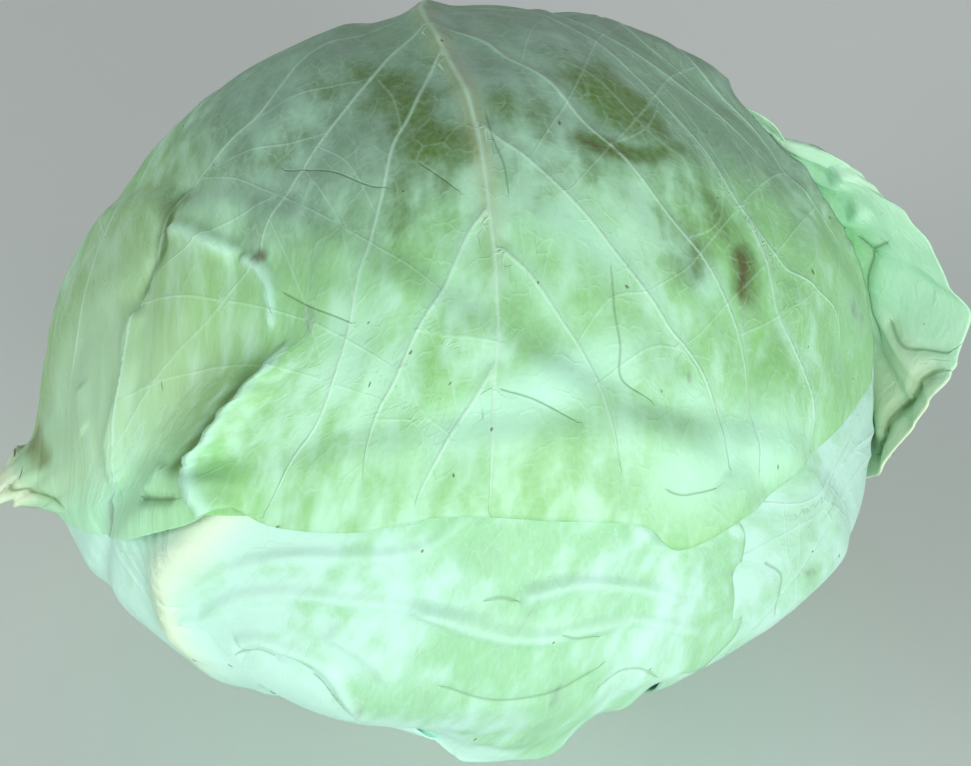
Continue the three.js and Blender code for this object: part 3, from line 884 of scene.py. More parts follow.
def grow(name, leaf, replaced, material, rows, columns, shape,
         fine_from=None, slit=None, rib=None):
    """Makes a leaf's mesh. shape(side, t, ways, relief) gives the lift in mm off its bed and a
    shift, and draws the leaf's lines and stains into the relief. rib is the midrib as it shows,
    where it differs from the one that the leaves over it bed on."""
    side, t = leaf_grid(leaf, rows, columns, fine_from, slit)
    ways = leaf.way(side, t)
    relief = Relief(leaf, ways)
    lift, shift = shape(side, t, ways, relief)
    pillow = PILLOW_HEIGHT * (1 - bell(relief.vein_gap, PILLOW_RUN))
    inner = head_points(ways, leaf.bed(ways) + lift + pillow) + leaf.free_shift(side, t) + shift
    normals = grid_normals(inner)
    reach = leaf.half_width(side, t)
    rib_half, rib_height = np.moveaxis(keyed(rib or leaf.rib, t), -1, 0)
    midrib = rib_height * bell(np.abs(side) * reach, rib_half)
    flat = laid_flat(inner)
    to_edge = np.minimum((1 - np.abs(side)) * reach, flat[-1, :, 1] - flat[..., 1])
    blade = EDGE_THICKNESS + (BLADE_THICKNESS - EDGE_THICKNESS) * eased(to_edge, 0, EDGE_RUN)
    creases = np.minimum(relief.height, 0)
    veins = np.maximum(relief.height, 0)
    inner = inner + normals * (creases + 0.5 * veins)[..., None]
    outer = inner + normals * (blade + midrib + 0.5 * veins)[..., None]
    layers = [outer, inner, flat * 0.001, *relief.maps.values()]
    flats = [layer.reshape(rows * columns, -1) for layer in layers]
    cut = None
    if slit:
        flats, cut = cut_open(flats, side, t, normals, slit)
    faces = blade_faces(rows, columns, cut)
    attributes = {key: np.tile(values.ravel(), 2) for key, values in zip(relief.maps, flats[3:])}
    return new_piece(name, np.vstack(flats[:2]), faces, material, replaced, attributes,
                     np.tile(flats[2], (2, 1)))


# Dull olive, also used for painted shade.
OLIVE = screen_colour(96, 128, 62)
# Grey wax bloom, also used for painted shade on the crown.
BLOOM_AND_SHADE = screen_colour(131, 159, 144)
BEIGE = screen_colour(176, 186, 142)
CREAM = screen_colour(222, 240, 208)
# The dark green of painted shade in creases, cracks and folds, and of the painted shadow past the
# tear.
CREASE_SHADE = screen_colour(92, 134, 70)
RUST = screen_colour(92, 70, 48)
SPECK = screen_colour(88, 78, 52)
inner_leaf = leaf_material(
    "inner_leaf", pale=screen_colour(194, 236, 221), green=screen_colour(154, 212, 160),
    vein=screen_colour(208, 242, 230), light=screen_colour(202, 244, 230))


def shared_waves(ways):
    """The soft swell that all the leaves have in common, so that they stay clear of each other."""
    return WAVE_HEIGHT * (1 + swell(ways, WAVE_SIZE, WAVE_SEED))


def plain_veins(relief, lines, seed, width=1.3, height=0.6, rungs=5):
    """Side veins, with thin cross veins between neighbours on the same side of the midrib."""
    for line in lines:
        relief.line(line, (width, width * 0.55), (height, height * 0.35), "vein", 0.65, pillow=True)
        relief.stain("light", line, 3.5, 0.35)
    draw = np.random.default_rng(seed)
    for hand in (-1, 1):
        same = [line for line in lines if np.sign(line[-1][0]) == hand]
        for first, second in zip(same[:-1], same[1:]):
            for rung in ladder(first, second, rungs, draw):
                relief.line(rung, (0.9, 0.7), (0.1, 0.08), "twig", 0.6)


def plain_green(relief, side, t, least, most):
    """Greener towards the tip and the margins, paler at the foot and along the midrib."""
    outward = eased(np.abs(side), 0.0, 0.7)
    relief.maps["green"] += least + (most - least) * eased(t, 0.15, 0.9) * outward


lower = Leaf(
    rows=[
        [(-94, -64), (-80, -66), (-66, -64)],
        [(-122, -42), (-80, -38), (-42, -42)],
        [(-137, -16), (-80, -12), (-28, -18)],
        [(-140, 6), (-80, 10), (-30, 2)],
        [(-122, 22), (-80, 28), (-42, 20)],
    ],
    tip=[(-122, 22), (-102, 31), (-80, 33), (-58, 29), (-42, 20)],
    rib=[(0, 8, 3), (1, 2, 0.5)])


def lower_shape(side, t, ways, relief):
    """A pale leaf with plain side veins, on the shared waves alone."""
    plain_green(relief, side, t, -0.3, 0.1)
    plain_veins(relief, side_veins([0.05, 0.17, 0.29, 0.42, 0.55, 0.68]), 11)
    return shared_waves(ways), 0


grow("lower_leaf", lower, "leaf_lower", inner_leaf, rows=120, columns=110,
     shape=lower_shape)


# Back left leaf
# A green wrapper leaf that grows from the back left of the stem. The top leaf hides most of it
# from the front, and from behind its outer half shows.
wrapper_leaf = leaf_material(
    "wrapper_leaf", pale=screen_colour(184, 234, 200), green=screen_colour(140, 200, 122),
    vein=screen_colour(200, 240, 216), light=screen_colour(196, 250, 222))

back_left = Leaf(
    rows=[
        [(129, -64), (143, -66), (157, -64)],
        [(104, -42), (143, -35), (-178, -42)],
        [(90, -10), (145, 0), (-160, -16)],
        [(94, 22), (150, 32), (-148, 10)],
        [(120, 50), (165, 60), (-142, 36)],
    ],
    tip=[(120, 50), (142, 63), (172, 67), (-160, 57), (-142, 36)],
    rib=[(0, 9, 3.5), (1, 2, 0.5)], extra_gap=0.2, beneath=[lower])


def back_left_shape(side, t, ways, relief):
    """A green leaf with plain side veins, on the shared waves, and more bloom up to the tip."""
    plain_green(relief, side, t, 0.2, 0.95)
    relief.maps["bloom_and_shade"] += 0.4 * eased(t, 0.2, 0.8)
    plain_veins(relief, side_veins([0.05, 0.15, 0.26, 0.38, 0.5, 0.63]), 21)
    return shared_waves(ways), 0


grow("back_left_leaf", back_left, "leaf_back_left", wrapper_leaf, rows=150,
     columns=130, shape=back_left_shape)


# Right leaf
# A whitish leaf that cups the right side. Its left half shows below the top leaf at the lower
# right, with side veins that fan out and small crumples near the front leaf's edge.
right = Leaf(
    rows=[
        [(-9, -64), (5, -66), (19, -64)],
        [(-36, -40), (4, -34), (44, -42)],
        [(-60, -12), (2, -4), (54, -12)],
        [(-63, 8), (-4, 19), (46, 15)],
        [(-50, 23), (-12, 34), (28, 35)],
    ],
    tip=[(-50, 23), (-34, 33), (-12, 40), (10, 41), (28, 35)],
    rib=[(0, 9, 3.5), (1, 2, 0.5)], extra_gap=0.2, beneath=[lower, back_left])

RIGHT_VEINS = [
    [(-0.05, 0.50), (-0.23, 0.62), (-0.46, 0.66), (-0.61, 0.64), (-0.77, 0.60)],
    [(-0.1, 0.60), (-0.33, 0.69), (-0.51, 0.69), (-0.63, 0.717), (-0.80, 0.761)],
    [(-0.23, 0.732), (-0.48, 0.715), (-0.57, 0.735), (-0.72, 0.822)],
    [(-0.05, 0.38), (-0.3, 0.48), (-0.55, 0.53), (-0.9, 0.55)],
]
RIGHT_CREASE = [(-0.72, 0.709), (-0.67, 0.652), (-0.70, 0.60)]


def right_shape(side, t, ways, relief):
    """Traced veins on the half that shows and plain ones on the other. Crumples, a finer swell,
    grow towards the left margin on top of the shared waves."""
    plain_green(relief, side, t, 0.0, 0.35)
    plain_veins(relief, RIGHT_VEINS, 32, height=0.7, rungs=3)
    both_halves = side_veins([0.05, 0.15, 0.26, 0.37, 0.48, 0.6])
    plain_veins(relief, [line for line in both_halves if line[-1, 0] > 0], 31)
    relief.line(RIGHT_CREASE, (1.1, 1.0), (-0.6, -0.4), "crease", 0.5)
    return shared_waves(ways) + 0.3 * swell(ways, 15, 33) * eased(-side, 0.5, 0.9), 0


grow("right_leaf", right, "leaf_right", inner_leaf, rows=180, columns=150,
     shape=right_shape)


# Front leaf
# The large pale leaf over the lower front. Its thick cream midrib stands at the lower left, its
# left half is white with fine veins that fan from the rib, and its lower right margin stands free.
front = Leaf(
    rows=[
        [(-147, -64), (-132, -66), (-117, -64)],
        [(-165, -44), (-128, -44), (-117, -34)],
        [(-178, -28), (-126, -22), (-118, -8)],
        [(175, -12), (-125, -6), (-111, 3)],
        [(172, 2), (-130, 3), (-102, -6)],
        [(170, 12), (-132, 9), (-88, -24)],
        [(172, 22), (-130, 15), (-71, -16)],
        [(178, 32), (-128, 22), (-56, -4)],
        [(-172, 40), (-126, 32), (-49, 8)],
        [(-158, 46), (-124, 44), (-58, 26)],
    ],
    tip=[(-158, 46), (-142, 53), (-122, 53), (-98, 48), (-76, 38), (-58, 26)],
    rib=[(0, 10, 4), (0.45, 7.5, 4), (1, 2, 0.6)], extra_gap=0.4,
    free=(1, 0.7, 1.6, [
        (0.18, 0, 0, 0), (0.31, 0, 0.5, 4.5), (0.37, 0, 0.8, 7), (0.42, 0, 0.5, 6.5),
        (0.48, 0, -1, 2), (0.52, 0, -5, -2), (0.56, 0, -8, -5), (0.63, 0.5, -7, -4),
        (0.72, -4.5, -2, 0), (0.76, -7.5, -1, 2), (0.80, -3.5, -1, -1.5), (0.84, -2, 0, -3),
        (0.90, -5, 0, -4), (0.95, 0, 0, 0)]),
    beneath=[lower, back_left, right])

FRONT_RIB = [(0, 10, 3), (0.27, 8, 0.6), (0.36, 7, 1.6), (0.42, 6.2, 4.8), (0.62, 5.5, 5.2),
             (0.76, 4.4, 2.2), (1, 2, 0.6)]
FRONT_VEINS = [
    [(0.04, 0.50), (0.07, 0.575), (0.09, 0.666), (0.14, 0.737), (0.22, 0.785), (0.28, 0.808),
     (0.31, 0.824), (0.33, 0.848), (0.34, 0.89)],
    [(0.08, 0.45), (0.14, 0.543), (0.14, 0.625), (0.16, 0.667), (0.21, 0.713), (0.28, 0.744),
     (0.36, 0.768), (0.43, 0.779), (0.57, 0.806)],
    [(0.51, 0.818), (0.59, 0.845), (0.71, 0.855), (0.85, 0.858)],
    [(0.36, 0.768), (0.59, 0.789), (0.68, 0.816), (0.79, 0.832), (0.94, 0.830)],
]
FRONT_FAN = [(-0.01, 0), (-0.06, 0.03), (-0.2, 0.09), (-0.5, 0.20), (-0.8, 0.3)]
FRONT_CREASES = [
    [(0.46, 0.804), (0.48, 0.812), (0.51, 0.814)],
    [(0.62, 0.801), (0.66, 0.799), (0.69, 0.805)],
    [(0.78, 0.755), (0.82, 0.782), (0.88, 0.781)],
    [(0.53, 0.710), (0.64, 0.723), (0.71, 0.749), (0.74, 0.779)],
]
FRONT_GREEN = [
    [(0.20, 0.773), (0.34, 0.839), (0.52, 0.873), (0.71, 0.884)],
    [(0.42, 0.746), (0.56, 0.759), (0.64, 0.784)],
]
FRONT_PUCKER = [(0.30, 0.70), (0.40, 0.702), (0.47, 0.69)]
FRONT_HEM = [(0.23, 0.586), (0.24, 0.623), (0.28, 0.641), (0.32, 0.654), (0.37, 0.657),
             (0.44, 0.644), (0.51, 0.626), (0.57, 0.613)]


def front_shape(side, t, ways, relief):
    """Whitish to the left of the rib, where fine veins fan out, and greener to the right, with
    bold veins that each have a green stroke of painted shade below. The rib is cream by a bell
    across it. The hem is a ridge with a painted highlight above a sunken line with painted shade,
    with a paler strip past it. A pucker's ridge has a painted highlight, and a finer swell crumples
    the right margin."""
    plain_green(relief, side, t, 0.2, 0.5)
    relief.maps["green"] *= eased(side, -0.1, 0.3)
    relief.maps["light"] += 0.3 * eased(-side, 0.03, 0.08)
    turned_under = eased(side, 0.22, 0.32) * (1 - eased(t, 0.60, 0.65))
    relief.maps["green"] -= 0.6 * turned_under
    relief.maps["light"] += 0.3 * turned_under
    # Painted highlight on the hem's ridge, and painted shade in the sunken line under it.
    relief.line(FRONT_HEM, (1.8, 1.6), (1.8, 1.2), light=0.6)
    shade_under_hem = [(across + 0.02, up - 0.02) for across, up in FRONT_HEM]
    relief.line(shade_under_hem, (1.6, 1.4), (-1.2, -0.8), "crease", 0.3)
    on_rib = bell(side * relief.leaf.half_width(side, t), 5)
    relief.maps["cream"] += on_rib * window(t, 0.3, 0.42, 0.85, 0.95)
    for line in FRONT_VEINS:
        relief.line(line, (2.3, 1.5), (2.2, 0.8), pillow=True, light=0.4)
        # Painted shade: a green stroke just below each vein.
        relief.stain("green", [(across, up - 0.02) for across, up in line], 3, 0.45)
    for start in np.linspace(0.40, 0.62, 7):
        line = [(across, start + climb) for across, climb in FRONT_FAN]
        relief.line(line, (1.1, 0.9), (0.45, 0.25), "twig", 0.5)
    for line in FRONT_CREASES:
        relief.line(line, (1.1, 1.1), (-0.6, -0.4), "crease", 0.6)
    # Painted highlight on the pucker's ridge.
    relief.line(FRONT_PUCKER, (2.4, 2.4), (1.6, 1.2), light=0.4)
    for line in FRONT_GREEN:
        relief.stain("green", line, 9, 0.9)
    return shared_waves(ways) + 0.4 * swell(ways, 14, 43) * eased(side, 0.4, 0.9), 0


grow("front_leaf", front, "leaf_front", inner_leaf, rows=260, columns=190,
     shape=front_shape, fine_from=0.3, rib=FRONT_RIB)


# Right back leaf
# A bright green wrapper leaf from the back right. Its near margin is folded out and stands off
# the head as a wide lobed flap with a rolled rim and sharp fold lines.
right_back = Leaf(
    rows=[
        [(26, -64), (40, -66), (54, -64)],
        [(14, -42), (40, -34), (72, -44)],
        [(4, -18), (42, -6), (84, -16)],
        [(-8, 5), (43, 18), (84, 14)],
        [(0, 25), (42, 36), (78, 38)],
        [(12, 48), (40, 54), (66, 56)],
    ],
    tip=[(12, 48), (24, 60), (40, 64), (54, 62), (66, 56)],
    rib=[(0, 9, 4), (1, 2, 0.5)], extra_gap=0.2,
    free=(-1, 0.45, 1.3, [
        (0.5, 0, 0, 0), (0.55, -0.7, -3.5, 0.5), (0.60, 8.3, 5.2, -1.2), (0.63, 10.8, 6.5, -1),
        (0.66, 17, 9.2, -1), (0.68, 19.1, 8.6, -1.3), (0.71, 23.7, 11, 4.4),
        (0.75, 20.5, 10.2, 4.1), (0.80, 18.5, 9, 4.5), (0.85, 17.3, 8.4, 3.8),
        (0.89, 13.7, 9.5, 1.3), (0.92, 13.6, 9.3, -1.2), (0.95, 10.4, 9.1, -6.7),
        (0.97, 5, 8, -4), (1, 3, 4, 1)]),
    beneath=[lower, back_left, right, front])

FLAP_CRACKS = [
    [(-0.63, 0.735), (-0.67, 0.723), (-0.65, 0.69), (-0.645, 0.660), (-0.68, 0.630),
     (-0.72, 0.608)],
    [(-0.67, 0.723), (-0.73, 0.745), (-0.79, 0.766)],
    [(-0.74, 0.65), (-0.80, 0.645), (-0.84, 0.647), (-0.93, 0.671), (-0.98, 0.687)],
]
FLAP_FOLD = [(-0.93, 0.525), (-0.92, 0.560), (-0.89, 0.571), (-0.89, 0.583), (-0.92, 0.608),
             (-0.93, 0.630), (-0.94, 0.646), (-0.99, 0.664)]
FLAP_RIDGES = [
    [(-0.48, 0.771), (-0.64, 0.766), (-0.77, 0.824)],
    [(-0.47, 0.852), (-0.57, 0.830), (-0.65, 0.830), (-0.75, 0.862), (-0.9, 0.9)],
]


def right_back_shape(side, t, ways, relief):
    """A paler margin, with painted light that brightens it most at its lowest part. It shows its
    inner face, so its cracks and its fold are raised lines, darkened with painted shade, and its
    ridges sunken ones. A finer swell crumples it."""
    plain_green(relief, side, t, 0.3, 0.7)
    folded_out = eased(-side, 0.5, 0.8)
    painted_light_lowest = 1 - eased(t, 0.60, 0.70)
    relief.maps["green"] -= 0.35 * folded_out
    # Painted light: the folded-out margin's lowest part is brightened with light and cream.
    relief.maps["light"] += (0.6 + 0.6 * painted_light_lowest) * folded_out
    relief.maps["cream"] += (0.3 + 1.1 * painted_light_lowest) * folded_out
    plain_veins(relief, side_veins([0.05, 0.16, 0.27, 0.39, 0.52, 0.65], reach=0.5), 51)
    # Painted shade in the cracks and the fold, by the dark map.
    for line in FLAP_CRACKS:
        relief.line(line, (1.3, 1.2), (0.8, 0.7), "crease", 0.45, dark=0.5)
    relief.line(FLAP_FOLD, (1.8, 1.8), (1.8, 1.6), "crease", 0.5, dark=0.9)
    relief.step(FLAP_FOLD, 1.6, 5)
    for line in FLAP_RIDGES:
        relief.line(line, (2.4, 2.2), (-1.8, -1.4), light=0.5)
    crumples = 0.9 * swell(ways, 17, 53) * eased(-side, 0.5, 0.9)
    return shared_waves(ways) + crumples, 0


grow("right_back_leaf", right_back, "leaf_right_back", wrapper_leaf, rows=230,
     columns=180, shape=right_back_shape, fine_from=0.45)


# Top leaf
# The outermost leaf. It grows from the back of the stem, runs over the crown and down the front,
# with its midrib in the middle. At the lower left it is torn, and its left margin curls outwards.
top = Leaf(
    rows=[
        [(72, -64), (90, -66), (108, -64)],
        [(58, -40), (90, -28), (140, -40)],
        [(52, -5), (92, 12), (163, -16)],
        [(46, 32), (98, 46), (180, -4)],
        [(16, 54), (125, 76), (-170, -3)],
        [(4, 42), (-100, 78), (-164, 1)],
        [(-2, 28), (-87, 55), (-160, 2)],
        [(-16, 19), (-87, 26), (-156, 3)],
    ],
    tip=[
        (-16, 19), (-27, 20), (-43, 20), (-55, 19), (-63, 18), (-67, 22), (-80, 25), (-93, 26),
        (-105, 23), (-117, 21), (-127, 18), (-138, 11), (-148, 6), (-156, 3),
    ],
    rib=[(0, 11, 5), (0.4, 6, 3), (0.55, 3.4, 2.2), (0.7, 2.4, 1.5), (0.85, 1.6, 0.8),
         (1, 1.1, 0.3)],
    extra_gap=0.3, beneath=[lower, back_left, right, front, right_back])

TOP_VEINS_RIGHT = [
    [(0, 0.60), (-0.12, 0.633), (-0.14, 0.654), (-0.20, 0.694), (-0.24, 0.736), (-0.30, 0.775),
     (-0.36, 0.815), (-0.41, 0.845), (-0.44, 0.868), (-0.48, 0.898), (-0.50, 0.925), (-0.53, 0.98)],
    [(-0.05, 0.54), (-0.27, 0.545), (-0.34, 0.55), (-0.40, 0.575), (-0.46, 0.622), (-0.49, 0.69),
     (-0.53, 0.743), (-0.55, 0.80), (-0.62, 0.854), (-0.70, 0.877), (-0.80, 0.91), (-0.81, 0.96)],
    [(-0.55, 0.815), (-0.57, 0.854), (-0.58, 0.881), (-0.61, 0.910), (-0.65, 0.932),
     (-0.70, 0.967), (-0.71, 0.993)],
    [(-0.1, 0.47), (-0.5, 0.50), (-0.78, 0.55), (-0.90, 0.646), (-0.88, 0.73), (-0.90, 0.80),
     (-0.95, 0.86)],
    [(-0.01, 0.735), (-0.05, 0.754), (-0.08, 0.766), (-0.12, 0.788), (-0.18, 0.823),
     (-0.24, 0.859), (-0.31, 0.887), (-0.36, 0.898), (-0.42, 0.928), (-0.46, 0.97)],
    [(-0.01, 0.84), (-0.06, 0.861), (-0.11, 0.887), (-0.17, 0.92), (-0.22, 0.97)],
]
TOP_VEINS_LEFT = [
    [(0, 0.64), (0.06, 0.686), (0.09, 0.710), (0.12, 0.732), (0.15, 0.77), (0.18, 0.806),
     (0.20, 0.831), (0.23, 0.875), (0.28, 0.921), (0.33, 0.949), (0.39, 0.991)],
    [(0, 0.60), (0.06, 0.623), (0.15, 0.666), (0.23, 0.701), (0.29, 0.735), (0.34, 0.775),
     (0.345, 0.83)],
    [(0.03, 0.55), (0.17, 0.585), (0.22, 0.612), (0.27, 0.635), (0.34, 0.645), (0.42, 0.665),
     (0.46, 0.68), (0.51, 0.720), (0.57, 0.76), (0.61, 0.805), (0.66, 0.849), (0.71, 0.90),
     (0.73, 0.96)],
    [(0, 0.81), (0.03, 0.823), (0.08, 0.864), (0.12, 0.885), (0.16, 0.913), (0.19, 0.93),
     (0.21, 0.96)],
    [(0, 0.915), (0.05, 0.944), (0.08, 0.960), (0.12, 0.985)],
]
TOP_MIDRIB = [(0, 0.5), (0, 0.6), (0, 0.7), (0, 0.8), (0, 0.9), (0, 1)]
TOP_SLIT = {
    "side": 0.43, "overlap": 0.06, "lift": 5.0, "spread": 0.05, "start": 1, "full_from": 0.92,
    "line": [(0.7, 0.40), (0.863, 0.33), (0.878, 0.36), (0.894, 0.40), (0.910, 0.44), (0.923, 0.47),
             (0.939, 0.51), (0.961, 0.51), (0.977, 0.50), (1.0, 0.49)]}
TOP_CREASES = [
    [(-0.21, 0.859), (-0.21, 0.885), (-0.22, 0.905), (-0.22, 0.920), (-0.28, 0.934)],
    [(-0.01, 0.929), (-0.07, 0.935), (-0.14, 0.947)],
    [(0.28, 0.702), (0.22, 0.726), (0.17, 0.755), (0.14, 0.766)],
    [(0.32, 0.819), (0.28, 0.841), (0.22, 0.865)],
    [(-0.03, 0.72), (-0.03, 0.75), (-0.04, 0.77), (-0.04, 0.80)],
    [(0.09, 0.754), (0.04, 0.790)],
    [(-0.31, 0.974), (-0.37, 0.970), (-0.42, 0.973)],
]
TOP_SMALL_VEINS = [
    [(0.12, 0.885), (0.07, 0.895), (0.04, 0.898), (0.0, 0.903)],
    [(0.24, 0.726), (0.27, 0.754), (0.28, 0.774)],
    [(-0.34, 0.895), (-0.37, 0.905), (-0.39, 0.915)],
    [(-0.36, 0.935), (-0.33, 0.949), (-0.30, 0.964), (-0.28, 0.987)],
    [(-0.27, 0.662), (-0.33, 0.685), (-0.36, 0.71), (-0.40, 0.745), (-0.46, 0.77)],
]
# Dull olive strokes on the crown: partly the leaf's darker green, partly painted shade.
TOP_OLIVE_AND_SHADE = [
    ([(-0.26, 0.663), (-0.33, 0.691), (-0.39, 0.719), (-0.46, 0.745)], 9, 1.0),
    ([(-0.18, 0.747), (-0.25, 0.760), (-0.34, 0.763), (-0.49, 0.746)], 3.5, 1.2),
    ([(0.10, 0.700), (0.07, 0.739), (0.03, 0.755), (-0.01, 0.761)], 9, 0.75),
    ([(0.12, 0.635), (0.09, 0.686), (0.09, 0.730)], 9, 0.8),
    ([(0.06, 0.751), (0.13, 0.782), (0.15, 0.811)], 6, 0.5),
    ([(0.36, 0.644), (0.42, 0.662), (0.50, 0.693)], 6, 0.5),
    ([(-0.03, 0.695), (-0.10, 0.725), (-0.17, 0.758)], 10, 0.75),
    ([(-0.29, 0.701), (-0.37, 0.723), (-0.46, 0.745)], 7, 0.7),
    ([(-0.37, 0.776), (-0.44, 0.802), (-0.49, 0.839)], 6, 0.6),
    ([(-0.06, 0.799), (-0.15, 0.784), (-0.22, 0.802)], 6, 0.55),
    ([(0.22, 0.648), (0.14, 0.647), (0.05, 0.643)], 9, 0.7),
    ([(0.34, 0.703), (0.26, 0.682), (0.16, 0.677)], 8, 0.7),
    ([(0.40, 0.661), (0.46, 0.685), (0.52, 0.732)], 3, 0.7),
    ([(-0.26, 0.814), (-0.35, 0.822), (-0.39, 0.842), (-0.29, 0.846)], 7, 0.7),
    ([(-0.50, 0.835), (-0.51, 0.858), (-0.47, 0.875)], 5, 0.7),
]
TOP_GREEN = [
    ([(0.08, 0.868), (0.07, 0.903), (0.08, 0.931), (0.10, 0.952)], 7, 0.85),
    ([(0.26, 0.905), (0.27, 0.944), (0.29, 0.974)], 7, 0.8),
    ([(0.38, 0.895), (0.41, 0.937), (0.44, 0.973)], 5, 0.5),
    ([(0.29, 0.958), (0.19, 0.944), (0.07, 0.934), (-0.01, 0.921), (-0.11, 0.904), (-0.18, 0.894),
      (-0.30, 0.877), (-0.44, 0.859)], 5, 0.6),
    ([(0.25, 0.843), (0.17, 0.828), (0.09, 0.815), (0.0, 0.811)], 5, 0.6),
    ([(-0.22, 0.927), (-0.34, 0.914), (-0.48, 0.925)], 4, 0.4),
    ([(-0.17, 0.957), (-0.28, 0.941), (-0.43, 0.929)], 4, 0.4),
]
# Lighter strokes: partly the leaf's paler green, partly painted light.
TOP_PALE_AND_LIT = [
    ([(-0.36, 0.825), (-0.39, 0.850), (-0.42, 0.874)], 5, 0.8),
    ([(-0.33, 0.917), (-0.38, 0.924), (-0.42, 0.943)], 5, 0.7),
    ([(0.42, 0.652), (0.41, 0.683), (0.34, 0.705), (0.26, 0.749)], 7, 0.6),
    ([(0.12, 0.952), (-0.01, 0.940), (-0.15, 0.920), (-0.26, 0.905)], 7, 0.8),
    ([(-0.06, 0.810), (-0.16, 0.833), (-0.26, 0.870)], 6, 0.6),
    ([(-0.27, 0.960), (-0.50, 0.964), (-0.72, 0.990)], 12, 0.8),
    ([(0.20, 0.841), (0.23, 0.881), (0.27, 0.911)], 7, 0.5),
]
TOP_RUST = [
    ([(-0.16, 0.742), (-0.22, 0.757), (-0.28, 0.765), (-0.34, 0.762)], 1.3, 0.85),
    ([(-0.49, 0.84), (-0.50, 0.855), (-0.48, 0.875)], 1.1, 0.6),
    ([(0.35, 0.773), (0.33, 0.785)], 2.0, 0.7),
    ([(-0.35, 0.905), (-0.37, 0.92)], 1.5, 0.6),
]
TOP_STROKES = {"olive": TOP_OLIVE_AND_SHADE, "green": TOP_GREEN, "light": TOP_PALE_AND_LIT, "rust": TOP_RUST}
# Raised ridges; the last number is the strength of a painted highlight along each.
TOP_RIDGES = [
    ([(0.56, 0.751), (0.59, 0.772), (0.61, 0.805), (0.66, 0.842), (0.70, 0.87), (0.72, 0.904),
      (0.73, 0.938)], (2.0, 2.0), (2.0, 1.8), 0.5),
    ([(0.73, 0.746), (0.75, 0.789), (0.75, 0.821)], (2.4, 2.0), (1.2, 0.8), 0.3),
    ([(0.47, 0.694), (0.45, 0.705), (0.41, 0.743), (0.37, 0.770)], (1.6, 1.5), (1.5, 1.6), 1.0),
    ([(0.37, 0.770), (0.345, 0.794), (0.34, 0.813), (0.35, 0.854)], (1.1, 1.1), (1.3, 1.3), 1.0),
    ([(0.585, 0.93), (0.61, 0.942), (0.63, 0.953)], (1.8, 2.6), (0.9, 1.4), 0.5),
]
# Sunken cracks; the last number is the strength of painted shade in each.
TOP_CRACKS = [
    ([(0.40, 0.657), (0.43, 0.66), (0.46, 0.685), (0.49, 0.71), (0.53, 0.727), (0.55, 0.743)],
     (1.6, 1.8), (-1.0, -1.2), 0.8, 0.5),
    ([(0.64, 0.955), (0.60, 0.962), (0.55, 0.970)], (1.2, 1.1), (-1.2, -0.8), 0.6, 0.7),
    ([(0.965, 0.76), (0.93, 0.857), (0.91, 0.917)], (1.0, 1.0), (-0.5, -0.4), 0.6, 0.9),
]
SCOOP_SIDE = 0.82
RUFFLE_HEIGHT = 1.2
RUFFLE_TURNS = 150
NOTCH_DEPTH = 5.5
SCOOP_KEYS = [
    (0.50, 0, 0), (0.57, 2, 15), (0.62, 6, 15), (0.66, 9.5, 8), (0.71, 13, 3), (0.77, 12.5, 1),
    (0.83, 8, 0.5), (0.89, 3, 0.5), (0.94, 0, 0),
]


def scooped_margin(side, t):
    """How far in mm the left margin flares out and curls up: out grows with the share of the way
    to the edge, and up with its cube, both by keys of (t, out, up). A sine ruffles the lip."""
    share = np.clip((side - SCOOP_SIDE) / (1 - SCOOP_SIDE), 0, 1)
    out, up = np.moveaxis(keyed(SCOOP_KEYS, np.clip(t, 0.5, 0.94)), -1, 0)
    ruffle = RUFFLE_HEIGHT * np.sin(RUFFLE_TURNS * t) * window(t, 0.64, 0.70, 0.80, 0.86)
    ruffle = ruffle * share ** 3
    across = ruffle - out * share ** 1.3
    return np.stack([across, -0.15 * out * share, up * share ** 3 + ruffle], -1)


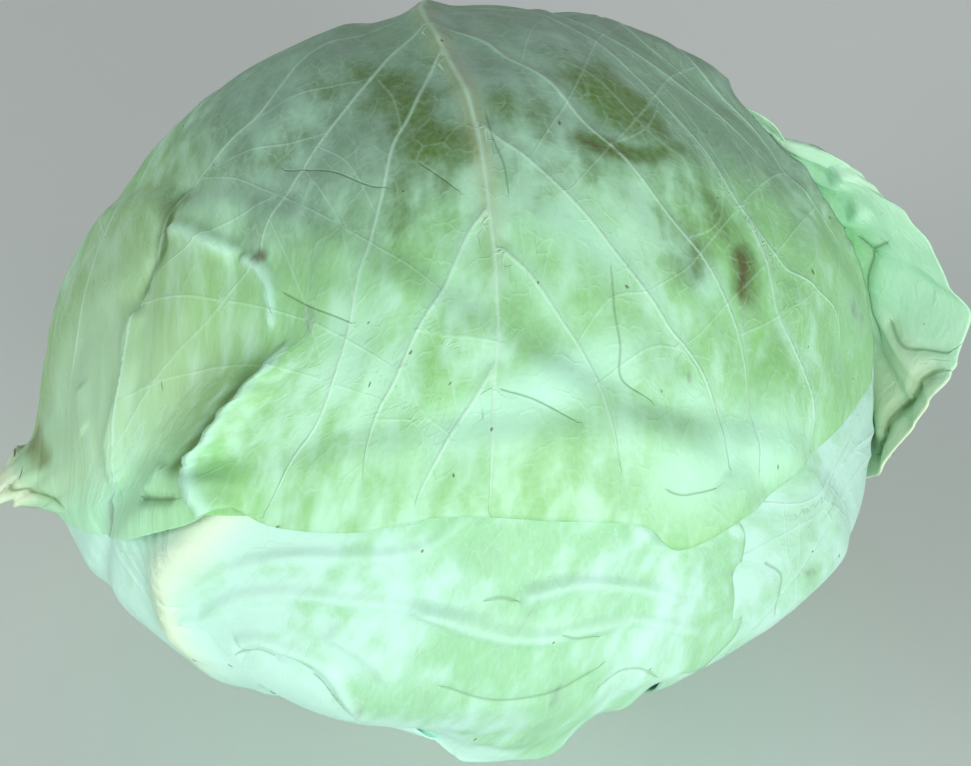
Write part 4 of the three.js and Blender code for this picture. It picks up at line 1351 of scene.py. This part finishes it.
def top_tones_and_painted_light(maps, side, t, cup, midrib):
    """Wax bloom and painted shade on the crown, painted light over the left half, lighter towards
    the lower right margin, a duller left side, and painted shade as dull olive inside the cup,
    whose lip is cream. Past the tear lies a painted shadow, and a painted highlight runs along the
    torn edge."""
    crown = window(t, 0.3, 0.6, 0.70, 0.86)
    # Wax bloom with painted shade on the crown.
    maps["bloom_and_shade"] += crown * 0.9 * (1 - 0.8 * eased(side, 0.25, 0.5))
    # Painted light over the left half of the leaf.
    maps["light"] += 0.55 * eased(side, 0.4, 0.7) * eased(t, 0.58, 0.7)
    maps["light"] += 0.22 * eased(-side, 0.50, 0.70) * eased(t, 0.68, 0.82)
    maps["beige"] += 0.4 * eased(side, 0.3, 0.55) * window(t, 0.5, 0.6, 0.86, 0.95)
    maps["beige"] += 0.7 * midrib * window(t, 0.35, 0.5, 0.78, 0.9)
    # Painted shade: dull olive inside the cup.
    maps["olive"] += 0.9 * cup
    maps["cream"] += 1.2 * eased(side, 0.925, 0.95) * window(t, 0.50, 0.56, 0.82, 0.87)
    past_slit = side - keyed(TOP_SLIT["line"], t)[..., 0]
    # Painted highlight along the torn edge, and a painted shadow just past it.
    torn_edge_highlight = bell(past_slit + 0.01, 0.012) * (past_slit <= 0.001)
    shadow = bell(past_slit - 0.045, np.where(past_slit < 0.045, 0.06, 0.022)) * (past_slit > 0.001)
    maps["light"] += 0.7 * torn_edge_highlight * eased(t, 0.855, 0.875)
    maps["dark"] += 1.7 * shadow * window(t, 0.862, 0.885, 0.935, 0.955)


def top_lines(relief):
    """The midrib's crest, veins, creases, strokes of colour and of painted light and shade, ridges
    with a painted highlight, and cracks darkened with painted shade.
    """
    relief.line(TOP_MIDRIB, (1.8, 1.1), (0.3, 0.2), "vein", 0.6)
    plain_veins(relief, TOP_VEINS_RIGHT, 61, rungs=4)
    plain_veins(relief, TOP_VEINS_LEFT, 62, rungs=4)
    back_veins = side_veins([0.06, 0.14, 0.22, 0.31, 0.40], reach=0.8, climb=0.45)
    plain_veins(relief, back_veins, 63, width=1.8, height=0.9)
    for line in TOP_CREASES:
        relief.line(line, (1.1, 1.0), (-0.3, -0.2), "crease", 0.35)
    for line in TOP_SMALL_VEINS:
        relief.line(line, (1.1, 0.9), (0.25, 0.2), "twig", 0.6)
    for key, strokes in TOP_STROKES.items():
        for line, width, strength in strokes:
            relief.stain(key, line, width, strength)
    for line, widths, heights, light in TOP_RIDGES:
        relief.line(line, widths, heights, light=light)
    for line, widths, heights, drawn, dark in TOP_CRACKS:
        relief.line(line, widths, heights, "crease", drawn, dark=dark)


def top_shape(side, t, ways, relief):
    """The shared waves with a finer swell, a dent beside the tear, a sunken cup inside the left
    margin, and a notch in the tip margin where it passes over the front leaf's rib."""
    cup = bell(side - 0.885, 0.028) * window(t, 0.60, 0.65, 0.77, 0.83)
    midrib = bell(side * relief.leaf.half_width(side, t), 2.2)
    plain_green(relief, side, t, 0.35, 0.75)
    top_tones_and_painted_light(relief.maps, side, t, cup, midrib)
    top_lines(relief)
    dent = bell(side - 0.45, 0.07) * bell(t - 0.83, 0.05)
    lift = 0.8 + shared_waves(ways) + 0.2 * swell(ways, 16, 63) - 1.2 * cup - 1.4 * dent
    shift = scooped_margin(side, t)
    shift[..., 2] += NOTCH_DEPTH * bell(side - 0.46, 0.05) * eased(t, 0.93, 1)
    return lift, shift


grow("top_leaf", top, "leaf_top", wrapper_leaf, rows=252, columns=195,
     shape=top_shape, fine_from=0.45, slit=TOP_SLIT)
